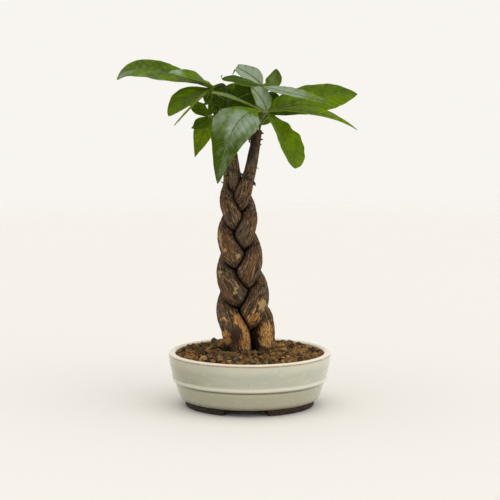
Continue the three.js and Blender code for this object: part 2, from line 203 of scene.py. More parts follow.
class Board:
    """The nodes of one material, or of the world."""

    def __init__(self, name: str, world: bool = False) -> None:
        """Makes an empty material or world."""
        self.owner = (bpy.data.worlds if world else bpy.data.materials).new(name)
        self.owner.use_nodes = True
        self.tree = self.owner.node_tree
        self.tree.nodes.clear()

    def feed(self, socket: bpy.types.NodeSocket, value: object) -> None:
        """Links a signal to a socket, or sets its constant.

        Args:
            socket: The input to feed.
            value: A signal, a number, or a colour or vector.
        """
        if isinstance(value, Signal):
            self.tree.links.new(value.socket, socket)
        else:
            socket.default_value = value

    def node(
        self,
        kind: str,
        settings: dict[str, object] | None = None,
        inputs: dict[int | str, object] | None = None,
        output: int | str = 0,
    ) -> Signal:
        """Adds a node.

        Args:
            kind: The node's type.
            settings: Its own settings, and "stops" for a ramp's places and colours.
            inputs: Values or signals for its sockets, by number or name.
            output: Which output is wanted.

        Returns:
            The output's signal.
        """
        made = self.tree.nodes.new(kind)
        for name, value in (settings or {}).items():
            if name == "stops":
                elements = made.color_ramp.elements
                while len(elements) < len(value):
                    elements.new(0.5)
                for element, (place, colour) in zip(elements, value):
                    element.position = place
                    element.color = colour
            else:
                setattr(made, name, value)
        for key, value in (inputs or {}).items():
            self.feed(made.inputs[key], value)
        return Signal(self, made.outputs[output])

    def blend(self, factor: object, first: object, second: object, how: str = "MIX") -> Signal:
        """Mixes two colours.

        Args:
            factor: The share of the second.
            first: A colour or its signal.
            second: A colour or its signal.
            how: The kind of mixing.

        Returns:
            The mixed colour.
        """
        settings = {"data_type": "RGBA", "blend_type": how, "clamp_factor": True}
        return self.node("ShaderNodeMix", settings, {0: factor, 6: first, 7: second}, 2)

    def ramp(self, value: Signal, *stops: tuple[float, Colour]) -> Signal:
        """Turns a value into a colour by a ramp with the given stops."""
        return self.node("ShaderNodeValToRGB", {"stops": stops}, {0: value})

    def place(self) -> Signal:
        """Returns the place in the frame, in metres from the pot's axis."""
        spot = self.node("ShaderNodeTexCoord", output="Object")
        settings = {"operation": "SUBTRACT"}
        return self.node("ShaderNodeVectorMath", settings, {0: spot, 1: AXIS})

    def scaled(self, vector: Signal, factors: Point) -> Signal:
        """Multiplies a vector by a factor for each axis."""
        return self.node(
            "ShaderNodeVectorMath", {"operation": "MULTIPLY"}, {0: vector, 1: factors}
        )

    def parts(self, vector: Signal) -> tuple[Signal, Signal, Signal]:
        """Splits a vector into its three numbers."""
        split = self.node("ShaderNodeSeparateXYZ", inputs={0: vector})
        outputs = split.socket.node.outputs
        return tuple(Signal(self, outputs[index]) for index in range(3))

    def attribute(self, name: str, output: str = "Vector") -> Signal:
        """Reads one of the piece's own attributes."""
        return self.node("ShaderNodeAttribute", {"attribute_name": name}, output=output)

    def noise(
        self, where: Signal, scale: float, detail: float = 4.0, rough: float = 0.55
    ) -> Signal:
        """Makes cloudy noise of about 0 to 1.

        Args:
            where: The place it is read at.
            scale: How many humps to one unit of place.
            detail: How many finer layers it has.
            rough: How strong the finer layers are.

        Returns:
            The noise.
        """
        inputs = {"Vector": where, "Scale": scale, "Detail": detail, "Roughness": rough}
        return self.node("ShaderNodeTexNoise", inputs=inputs)

    def cells(self, where: Signal, scale: float, feature: str = "F1") -> Signal:
        """Makes cells, giving the distance to the nearest point or edge."""
        return self.node(
            "ShaderNodeTexVoronoi", {"feature": feature}, {"Vector": where, "Scale": scale}
        )

    def bump(self, height: Signal, depth: float, under: Signal | None = None) -> Signal:
        """Makes relief.

        Args:
            height: The height, of about 0 to 1.
            depth: What a height of 1 is, in metres.
            under: Relief that this one lies on.

        Returns:
            The normal.
        """
        inputs = {"Strength": 1.0, "Distance": depth, "Height": height}
        if under is not None:
            inputs["Normal"] = under
        return self.node("ShaderNodeBump", inputs=inputs)

    def finish(self, **sockets: object) -> bpy.types.Material:
        """Adds the surface shader.

        Args:
            **sockets: Its inputs, with _ for each space of a name.

        Returns:
            The material.
        """
        inputs = {name.replace("_", " "): value for name, value in sockets.items()}
        self.close(self.node("ShaderNodeBsdfPrincipled", inputs=inputs), "Material")
        return self.owner

    def close(self, shader: Signal, kind: str) -> None:
        """Links a shader to a new output of the given kind, Material or World."""
        self.feed(self.tree.nodes.new(f"ShaderNodeOutput{kind}").inputs[0], shader)


# ---------------------------------------------------------------- finishes


@dataclass(frozen=True)
class Glaze:
    """Pale grey-green glaze over dark clay: cream where it is thin, darker where it pools. Shade is
    painted on its left side and in the groove, and a highlight below the lip.
    """

    body: Colour = srgb(182, 184, 168)
    warm: Colour = srgb(197, 191, 163)
    painted_side_shade_colour: Colour = srgb(141, 138, 107)
    low: Colour = srgb(166, 163, 138)
    lip: Colour = srgb(248, 243, 222)
    pooled: Colour = srgb(84, 80, 58)
    broken: Colour = srgb(150, 112, 66)
    clay: Colour = srgb(40, 29, 22)
    clay_light: Colour = srgb(74, 57, 44)
    highlight_from: tuple[float, float] = (41.0, 49.0)
    low_from: tuple[float, float] = (27.0, 20.0)
    lip_from: tuple[float, float] = (52.8, 53.8)
    break_height: float = 52.8
    ridge_height: float = 28.6
    groove_height: float = 25.2
    foot_from: tuple[float, float] = (12.0, 7.5)
    glaze_ends: float = 6.9
    painted_side_shade_from: tuple[float, float] = (20.0, -60.0)

    def material(self) -> bpy.types.Material:
        """Makes the material."""
        board = Board("glaze")
        place = board.place()
        x, y, z = board.parts(place)
        height = z / MM
        broad = board.noise(board.scaled(place, (1, 1, 3.0)), 22, 3)
        fine = board.noise(place, 420, 3)
        ripple = board.noise(board.scaled(place, (1, 1, 2.2)), 90, 3)
        wavy = height + (broad - 0.5) * 2.4
        tone = board.blend(broad.step(0.36, 0.68) * 0.8, self.body, self.warm)
        # Painted shade: the glaze turns olive towards the left side, away from the light.
        painted_side_shade = (x * 0.8 - y * 0.35) / MM + (broad - 0.5) * 30
        tone = board.blend(painted_side_shade.step(*self.painted_side_shade_from) * 0.9, tone, self.painted_side_shade_colour)
        tone = board.blend(wavy.step(*self.low_from) * 0.8, tone, self.low)
        tone = board.blend(wavy.band(self.ridge_height, 2.8) * 0.5, tone, self.lip)
        # The groove under the raised band is darkened as pooled glaze and as painted shade.
        tone = board.blend(height.band(self.groove_height, 2.1) * 0.95, tone, self.pooled)
        # Painted highlight: the upper wall turns a little cream towards the lip.
        tone = board.blend(wavy.step(*self.highlight_from) * 0.2, tone, self.lip)
        tone = board.blend(height.step(*self.lip_from) * 0.9, tone, self.lip)
        edge = height + (ripple - 0.5) * 0.9
        thin = edge.band(self.break_height, 1.4) * ripple.step(0.2, 0.5)
        tone = board.blend(thin * 0.8, tone, self.broken)
        tone = board.blend(height.step(*self.foot_from) * 0.5, tone, self.pooled)
        specks = board.cells(place, 95).step(0.055, 0.03)
        tone = board.blend(specks * 0.8, tone, self.clay)
        ends = height + (ripple - 0.5) * 1.4
        bare = ends.step(self.glaze_ends + 0.4, self.glaze_ends - 0.3)
        clay = board.blend(fine.step(0.4, 0.7), self.clay, self.clay_light)
        tone = board.blend(bare, tone, clay)
        relief = board.bump(broad * 0.6 + ripple * 0.1, 0.0006)
        relief = board.bump(fine * (bare * 0.9 + 0.04), 0.0004, relief)
        return board.finish(
            Base_Color=tone,
            Roughness=0.2 + ripple * 0.12 + bare * 0.6,
            Coat_Weight=0.6 * (1 - bare),
            Coat_Roughness=0.08,
            Normal=relief,
        )


@dataclass(frozen=True)
class Netting:
    """Dark moulded plastic netting."""

    plastic: Colour = srgb(38, 42, 40)
    dust_and_painted_sheen: Colour = srgb(84, 76, 62)

    def material(self) -> bpy.types.Material:
        """Makes the material."""
        board = Board("netting")
        place = board.place()
        grime = board.noise(place, 300, 4)
        return board.finish(
            Base_Color=board.blend(grime.step(0.5, 0.75), self.plastic, self.dust_and_painted_sheen),
            Roughness=0.45 + grime * 0.3,
            Normal=board.bump(board.noise(place, 2500, 2), 0.0001),
        )


@dataclass(frozen=True)
class Gravel:
    """Clay grains, each with its own tint, dusty and pitted."""

    damp_and_painted_shade: Colour = srgb(16, 10, 6)
    dust: Colour = srgb(204, 172, 116)

    def material(self) -> bpy.types.Material:
        """Makes the material."""
        board = Board("gravel")
        place = board.place()
        tint = board.attribute("tint", "Color")
        mottled = board.noise(place, 380, 4, 0.65)
        pits = board.noise(place, 1300, 3, 0.7)
        tone = board.blend(mottled.step(0.5, 0.34) * 0.75, tint, self.damp_and_painted_shade)
        tone = board.blend(pits.step(0.5, 0.68) * 0.4, tone, self.dust)
        relief = board.bump(mottled, 0.0011)
        return board.finish(
            Base_Color=tone,
            Roughness=0.92,
            Specular_IOR_Level=0.25,
            Normal=board.bump(pits, 0.0004, relief),
        )


@dataclass(frozen=True)
class Bark:
    """Fissured grey-brown bark with worn, peeled and smooth places, and painted shade in and near
    the seams between the stems and on its dark marks.
    """

    crevice: Colour = srgb(14, 9, 6)
    furrow: Colour = srgb(24, 17, 12)
    deep: Colour = srgb(60, 46, 31)
    brown: Colour = srgb(108, 84, 57)
    light: Colour = srgb(186, 154, 108)
    grey: Colour = srgb(98, 88, 73)
    rust: Colour = srgb(126, 84, 52)
    tan: Colour = srgb(172, 142, 92)
    peeled: Colour = srgb(172, 114, 54)
    raw: Colour = srgb(228, 184, 118)
    healed: Colour = srgb(66, 46, 34)

    def material(self) -> bpy.types.Material:
        """Makes the material."""
        board = Board("bark")
        grain = board.attribute("grain")
        worn, bare, healed = board.parts(board.attribute("marks"))
        seam, dusk, dark = board.parts(board.attribute("seams"))
        streaks = board.noise(grain, 0.6, 5, 0.62)
        fibres = board.noise(board.scaled(grain, (1.0, 1.0, 0.45)), 1.5, 3, 0.6)
        flecks = board.noise(board.scaled(grain, (1.0, 1.0, 1.6)), 0.9, 3, 0.6)
        patches = board.noise(board.scaled(grain, (1.0, 1.0, 1.4)), 0.11, 3, 0.5)
        tone = board.ramp(
            streaks * 0.34 + fibres * 0.36 + flecks * 0.3,
            (0.41, self.furrow),
            (0.475, self.deep),
            (0.54, self.brown),
            (0.63, self.light),
        )
        tone = board.blend(patches.step(0.55, 0.66) * 0.4, tone, self.rust)
        tone = board.blend(patches.step(0.5, 0.4) * 0.45, tone, self.grey)
        tan = (worn + (streaks - 0.5) * 1.3 + (fibres - 0.5) * 0.8).step(0.5, 0.7)
        tone = board.blend(tan * (0.55 + fibres * 0.6), tone, self.tan)
        peel = (bare + (streaks - 0.5) * 1.5 + (flecks - 0.5) * 1.2).step(0.36, 0.8)
        flesh = board.blend(fibres.step(0.42, 0.66), self.peeled, self.raw)
        flesh = board.blend(flecks.step(0.48, 0.36), flesh, self.rust)
        flesh = board.blend(streaks.step(0.44, 0.34), flesh, self.deep)
        tone = board.blend(peel, tone, flesh)
        tone = board.blend(healed, tone, self.healed)
        # Painted shade: the bark darkens near where the stems press together.
        tone = board.blend(dusk * 0.72, tone, self.furrow)
        # Painted shade: the dark marks, at the stems' feet and on the stem tops under the leaves,
        # turn nearly black.
        damp_and_painted_shade = (dark + (streaks - 0.5) * 0.9).step(0.2, 0.9)
        tone = board.blend(damp_and_painted_shade * 0.85, tone, self.crevice)
        # Painted shade: black where the stems touch.
        tone = board.blend(seam, tone, self.crevice)
        relief = board.bump(streaks * (1 - healed), 0.0012)
        relief = board.bump(fibres * (1 - healed * 0.7), 0.0006, relief)
        return board.finish(
            Base_Color=tone,
            Roughness=0.75 + fibres * 0.2,
            Specular_IOR_Level=0.25,
            Normal=relief,
        )


@dataclass(frozen=True)
class Wire:
    """Dark green coated wire."""

    paint: Colour = srgb(20, 28, 14)
    rubbed: Colour = srgb(56, 68, 40)

    def material(self) -> bpy.types.Material:
        """Makes the material."""
        board = Board("wire")
        place = board.place()
        scuffs = board.noise(place, 500, 4)
        return board.finish(
            Base_Color=board.blend(scuffs.step(0.5, 0.7), self.paint, self.rubbed),
            Roughness=0.5 + scuffs * 0.25,
            Normal=board.bump(scuffs, 0.0001),
        )


@dataclass(frozen=True)
class Blade:
    """A face of a leaflet: its veins run from the midrib to the edge."""

    name: str
    green: Colour
    deep: Colour
    vein: Colour
    margin: Colour
    painted_sheen: Colour
    roughness: float
    coat: float
    relief: float
    lift: float

    def material(self) -> bpy.types.Material:
        """Makes the material."""
        board = Board(self.name)
        along, across, half = board.parts(board.attribute("veins"))
        painted_sheen, gloss, shade = board.parts(board.attribute("skin"))
        lines, _, _ = board.parts(board.attribute("lines"))
        side = abs(across)
        reach = side * half
        place = board.place()
        clouds = board.noise(place, 60, 3)
        grit = board.noise(place, 900, 3, 0.6)
        wander = (board.noise(place, 75, 3) - 0.5) * 5.0
        turn = vein_count(along, reach, wander)
        to_vein = abs((turn.fraction() - 0.5)) * 2
        lateral = to_vein.step(0.86, 1.0) * side.step(1.0, 0.6)
        midrib = reach.step(1.0, 0.3)
        net = board.cells(place, 900, "DISTANCE_TO_EDGE").step(0.09, 0.0)
        # Darker green where the noise says, and by each leaflet's shade: painted shade for leaflets
        # in the crown's shadow, and painted light where it is below zero.
        tone = board.blend(clouds.step(0.35, 0.7) * 0.6 + shade, self.green, self.deep)
        tone = board.blend(to_vein.step(0.55, 1.0) * 0.3, tone, self.deep)
        dapple = board.noise(board.scaled(place, (1, 1, 0.6)), 95, 2)
        # Painted sheen: leaflets that face the bright light turn grey-green, as their reflection of
        # it.
        dust_and_painted_sheen = (painted_sheen * 1.4 - 0.7 + dapple).step(0.3, 0.95)
        tone = board.blend(dust_and_painted_sheen * 0.95, tone, self.painted_sheen)
        tone = board.blend(net * 0.1, tone, self.vein)
        tone = board.blend(midrib.greatest(lateral * lines) * 0.45, tone, self.vein)
        tone = board.blend(side.step(0.95, 1.0) * 0.4, tone, self.margin)
        height = to_vein.step(1.0, 0.35) * (1 - midrib) - midrib * 0.8
        relief = board.bump(reach * self.lift, 0.001)
        relief = board.bump(height, self.relief, relief)
        relief = board.bump(grit * 0.5 + net * 0.5, 0.00012, relief)
        return board.finish(
            Base_Color=tone,
            Roughness=self.roughness + (clouds - 0.5) * 0.16,
            Specular_IOR_Level=0.05,
            Coat_Weight=self.coat * gloss * clouds.step(0.35, 0.6),
            Coat_Roughness=0.26,
            Normal=relief,
        )


@dataclass(frozen=True)
class Stalk:
    """The green skin of a leaf's stalk."""

    name: str = "stalk"
    green: Colour = srgb(70, 90, 30)
    pale: Colour = srgb(132, 146, 72)
    dark: Colour = srgb(40, 52, 18)

    def material(self) -> bpy.types.Material:
        """Makes the material."""
        board = Board(self.name)
        place = board.place()
        streaks = board.noise(board.scaled(place, (1, 1, 0.25)), 500, 3)
        _, _, shade = board.parts(board.attribute("skin"))
        tone = board.blend(streaks.step(0.35, 0.65), self.green, self.pale)
        return board.finish(
            # A stalk's shade darkens it: painted shade for the left leaf's stalk inside the crown.
            Base_Color=board.blend(shade, tone, self.dark),
            Roughness=0.42 + streaks * 0.2,
            Normal=board.bump(streaks, 0.0003),
        )


@dataclass(frozen=True)
class Sweep:
    """The pale surface that the pot stands on."""

    pale: Colour = srgb(243, 240, 235)

    def material(self) -> bpy.types.Material:
        """Makes the material."""
        board = Board("sweep")
        x, y, _ = board.parts(board.place())
        away = (x * x + y * y) ** 0.5
        specks = board.noise(board.place(), 900, 2)
        return board.finish(
            Base_Color=self.pale,
            Roughness=0.85,
            Alpha=away.step(2.8, 1.4),
            Normal=board.bump(specks, 0.00002),
        )


UPPER = Blade(
    name="leaf_upper",
    green=srgb(113, 143, 3),
    deep=srgb(58, 82, 4),
    vein=srgb(142, 166, 58),
    margin=srgb(126, 150, 32),
    painted_sheen=srgb(152, 169, 147),
    roughness=0.5,
    coat=1.0,
    relief=0.0007,
    lift=0.16,
)
LOWER = Blade(
    name="leaf_lower",
    green=srgb(116, 144, 18),
    deep=srgb(92, 120, 12),
    vein=srgb(142, 164, 60),
    margin=srgb(120, 146, 30),
    painted_sheen=srgb(126, 146, 92),
    roughness=0.6,
    coat=0.0,
    relief=-0.0005,
    lift=-0.16,
)
LEAF_SKINS = (UPPER, LOWER, Stalk())


# ---------------------------------------------------------------- modelling by operators


class Bench:
    """Modelling with operators, one object at a time."""

    @staticmethod
    def clear() -> None:
        """Leaves edit mode and lets go of everything."""
        if bpy.context.mode != "OBJECT":
            bpy.ops.object.mode_set(mode="OBJECT")
        bpy.ops.object.select_all(action="DESELECT")

    @classmethod
    def take(cls, *objects: bpy.types.Object) -> None:
        """Selects objects and makes the first one active."""
        cls.clear()
        for one in objects:
            one.select_set(True)
        bpy.context.view_layer.objects.active = objects[0]

    @classmethod
    def edit(cls, one: bpy.types.Object) -> None:
        """Opens an object in edit mode with all of it selected."""
        cls.take(one)
        bpy.ops.object.mode_set(mode="EDIT")
        bpy.ops.mesh.select_all(action="SELECT")

    @classmethod
    def modify(cls, one: bpy.types.Object, kind: str, **settings: object) -> None:
        """Adds a modifier with its settings and applies it."""
        cls.take(one)
        modifier = one.modifiers.new(kind.title(), kind)
        for name, value in settings.items():
            setattr(modifier, name, value)
        bpy.ops.object.modifier_apply(modifier=modifier.name)

    @classmethod
    def join(cls, name: str, objects: Sequence[bpy.types.Object]) -> bpy.types.Object:
        """Joins objects into one, under a new name."""
        cls.take(*objects)
        if len(objects) > 1:
            bpy.ops.object.join()
        whole = bpy.context.view_layer.objects.active
        whole.name = name
        whole.data.name = name
        return whole

    @classmethod
    def turned(
        cls, name: str, profile: Sequence[tuple[float, float]], steps: int
    ) -> bpy.types.Object:
        """Spins a profile about the pot's axis.

        Args:
            name: The new object's name.
            profile: Radius and height of each of its points, in millimetres.
            steps: How many steps the whole turn takes.

        Returns:
            The closed, turned shape.
        """
        cls.clear()
        path = [at((radius, 0, height)) for radius, height in profile]
        bpy.ops.mesh.primitive_plane_add(size=MM, location=path[0])
        shape = bpy.context.object
        bpy.ops.object.transform_apply()
        cls.edit(shape)
        bpy.ops.mesh.merge(type="CENTER")
        for here, following in zip(path, path[1:]):
            bpy.ops.mesh.extrude_region_move(
                TRANSFORM_OT_translate={"value": following - here}
            )
        bpy.ops.mesh.select_all(action="SELECT")
        bpy.ops.mesh.spin(steps=steps, angle=TURN, center=AXIS, axis=(0, 0, 1))
        bpy.ops.mesh.select_all(action="SELECT")
        bpy.ops.mesh.remove_doubles(threshold=0.02 * MM)
        bpy.ops.mesh.normals_make_consistent(inside=False)
        cls.clear()
        shape.name = name
        return shape

    @classmethod
    def tube(
        cls, name: str, path: Sequence[Sequence[float]], radii: Sequence[float], sides: int
    ) -> bpy.types.Object:
        """Sweeps a round section along a path.

        Args:
            name: The new object's name.
            path: Its points, in millimetres from the pot's axis.
            radii: The radius at each point, in millimetres.
            sides: Faces round it: an even number from 4 to 68.

        Returns:
            A closed mesh whose vertices run ring after ring.
        """
        cls.clear()
        bpy.ops.curve.primitive_bezier_curve_add(location=(0, 0, 0))
        drawn = bpy.context.object
        curve = drawn.data
        curve.splines.clear()
        spline = curve.splines.new("POLY")
        spline.points.add(len(path) - 1)
        for point, spot, radius in zip(spline.points, path, radii):
            point.co = (*at(spot), 1.0)
            point.radius = radius
        curve.dimensions = "3D"
        curve.bevel_depth = MM
        curve.bevel_resolution = sides // 2 - 2
        bpy.ops.object.convert(target="MESH")
        shape = bpy.context.object
        cls.edit(shape)
        bpy.ops.mesh.fill_holes(sides=0)
        cls.clear()
        shape.name = name
        return shape

    @staticmethod
    def note(one: bpy.types.Object, name: str, values: Iterable[Sequence[float]]) -> None:
        """Stores a vector at each vertex under a name."""
        layer = one.data.attributes.new(name, "FLOAT_VECTOR", "POINT")
        layer.data.foreach_set("vector", [number for value in values for number in value])

    @staticmethod
    def mould(one: bpy.types.Object, points: Iterable[Sequence[float]]) -> None:
        """Moves an object's vertices to points in millimetres from the pot's axis."""
        flat = [number for point in points for number in at(point)]
        one.data.vertices.foreach_set("co", flat)
        one.data.update()

    @staticmethod
    def spots(one: bpy.types.Object) -> list[Vector]:
        """Returns an object's vertices in millimetres from the pot's axis."""
        return [(vertex.co - AXIS) / MM for vertex in one.data.vertices]

    @classmethod
    def smoothed(cls, one: bpy.types.Object, degrees: float = 180.0) -> None:
        """Shades an object smooth, but for edges sharper than an angle."""
        cls.take(one)
        if degrees >= 180:
            bpy.ops.object.shade_smooth()
        else:
            bpy.ops.object.shade_smooth_by_angle(angle=math.radians(degrees))

    @classmethod
    def hand_over(
        cls,
        one: bpy.types.Object,
        slot: Slot,
        nodes: Sequence[str],
        *materials: bpy.types.Material,
    ) -> None:
        """Makes an object a piece of the model.

        Args:
            one: The finished object.
            slot: Not used.
            nodes: The solids that it stands for.
            *materials: Its materials, or none to keep those it has.
        """
        if materials:
            one.data.materials.clear()
            for material in materials:
                one.data.materials.append(material)
        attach(one, BODY)
        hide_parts(*nodes)
        cls.clear()


def spline(stations: Sequence[Sequence[float]], step: float) -> list[Vector]:
    """Draws a smooth line through stations.

    Args:
        stations: Points in millimetres, each with a radius as its fourth number.
        step: The spacing of the points that are wanted.

    Returns:
        Evenly spaced points, each with its radius.
    """
    knots = [Vector(station) for station in stations]
    knots = [knots[0] * 2 - knots[1], *knots, knots[-1] * 2 - knots[-2]]
    fine = []
    for a, b, c, d in zip(knots, knots[1:], knots[2:], knots[3:]):
        spans = [math.sqrt((q - p).xyz.length) for p, q in ((a, b), (b, c), (c, d))]
        start = (b - a) / spans[0] - (c - a) / (spans[0] + spans[1]) + (c - b) / spans[1]
        end = (c - b) / spans[1] - (d - b) / (spans[1] + spans[2]) + (d - c) / spans[2]
        start, end = start * spans[1], end * spans[1]
        for part in range(24):
            t = part / 24
            fine.append(
                b * (2 * t**3 - 3 * t**2 + 1)
                + start * (t**3 - 2 * t**2 + t)
                + c * (3 * t**2 - 2 * t**3)
                + end * (t**3 - t**2)
            )
    fine.append(knots[-2])
    lengths = [0.0]
    for here, following in zip(fine, fine[1:]):
        lengths.append(lengths[-1] + (following - here).xyz.length)
    count = max(2, round(lengths[-1] / step))
    points, index = [], 0
    for number in range(count + 1):
        wanted = lengths[-1] * number / count
        while index < len(fine) - 2 and lengths[index + 1] < wanted:
            index += 1
        gap = max(lengths[index + 1] - lengths[index], 1e-6)
        points.append(fine[index].lerp(fine[index + 1], (wanted - lengths[index]) / gap))
    return points


# ---------------------------------------------------------------- pot and soil


@dataclass
class Pot:
    """The glazed pot with its lip, its raised band, its drain hole and its three feet."""

    outside: list[tuple[float, float]] = field(
        default_factory=lambda: [
            (62, 5.5), (66.5, 6.2), (70.2, 8.2), (71.8, 11), (74.2, 18), (75.7, 23),
            (76.3, 24.7), (77.4, 25.6), (78.7, 26.6), (79.2, 28.4), (78.9, 30.4), (79.1, 32),
            (80, 36.5), (81.6, 43), (82.5, 50), (82.6, 52.4), (82.2, 53.7),
        ]
    )
    inside: list[tuple[float, float]] = field(
        default_factory=lambda: [
            (81.2, 54.5), (79.2, 54.9), (77, 54.4), (75.5, 53), (74.6, 45), (73, 32), (70, 17),
            (66.5, 12.4), (62, 10.5),
        ]
    )
    hole: float = 9.0
    floor: tuple[float, float] = (5.5, 10.5)
    foot_radii: tuple[float, float] = (53.0, 65.5)
    foot_height: float = 6.6
    foot_span: float = 80.0
    foot_from: float = 16.8
    steps: int = 180
    wobble: float = 0.22

    def body(self) -> bpy.types.Object:
        """Turns the pot's wall and floor.

        Returns:
            The turned object.
        """
        wall = [(x, 0, z, 0) for x, z in [*self.outside, *self.inside]]
        curve = [(point.x, point.z) for point in spline(wall, 1.5)]
        profile = [
            (self.hole, self.floor[0] + 0.5), (self.hole + 0.5, self.floor[0]), *curve,
            (self.hole + 0.5, self.floor[1]), (self.hole, self.floor[1] - 0.5),
            (self.hole, self.floor[0] + 0.5),
        ]
        return Bench.turned("pot_glazed", profile, self.steps)

    def foot(self, index: int) -> bpy.types.Object:
        """Makes one foot, curved round the axis, with rounded edges.

        Args:
            index: Which foot, 0 to 2.

        Returns:
            The foot.
        """
        Bench.clear()
        inner, outer = self.foot_radii
        start = math.radians(self.foot_from - 90 + 120 * index)
        middle = at(((inner + outer) / 2, 0, self.foot_height / 2))
        bpy.ops.mesh.primitive_plane_add(size=1, location=middle, rotation=(math.pi / 2, 0, 0))
        foot = bpy.context.object
        foot.scale = ((outer - inner) * MM, self.foot_height * MM, 1)
        bpy.ops.object.transform_apply()
        Bench.edit(foot)
        bpy.ops.transform.rotate(
            value=-start, orient_axis="Z", center_override=AXIS, orient_type="GLOBAL"
        )
        bpy.ops.mesh.spin(
            steps=28, angle=-math.radians(self.foot_span), center=AXIS, axis=(0, 0, 1)
        )
        bpy.ops.mesh.select_all(action="SELECT")
        bpy.ops.mesh.remove_doubles(threshold=0.02 * MM)
        bpy.ops.mesh.normals_make_consistent(inside=False)
        Bench.clear()
        Bench.modify(
            foot, "BEVEL", width=0.9 * MM, segments=3, limit_method="ANGLE",
            angle_limit=math.radians(40),
        )
        return foot

    def build(self) -> bpy.types.Object:
        """Builds the pot and hands it over.

        Returns:
            The pot.
        """
        pot = self.body()
        for index in range(3):
            foot = self.foot(index)
            Bench.modify(pot, "BOOLEAN", object=foot, operation="UNION", solver="EXACT")
            bpy.data.objects.remove(foot)
        points = []
        for spot in Bench.spots(pot):
            ring = Vector((spot.x, spot.y, 0))
            swell = noise.noise(spot * 0.022) * self.wobble * smooth(7, 12, spot.z)
            points.append(spot + ring.normalized() * swell)
        Bench.mould(pot, points)
        Bench.smoothed(pot, 35)
        Bench.hand_over(pot, Slot.GLAZE, ["pot"], Glaze().material())
        return pot


class Drain:
    """The netting over the pot's drain hole, closed in under the soil."""

    @staticmethod
    def dress() -> bpy.types.Object:
        """Gives the netting's own solid its finish."""
        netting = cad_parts["drain_mesh"]
        netting.data.materials.clear()
        netting.data.materials.append(Netting().material())
        return netting


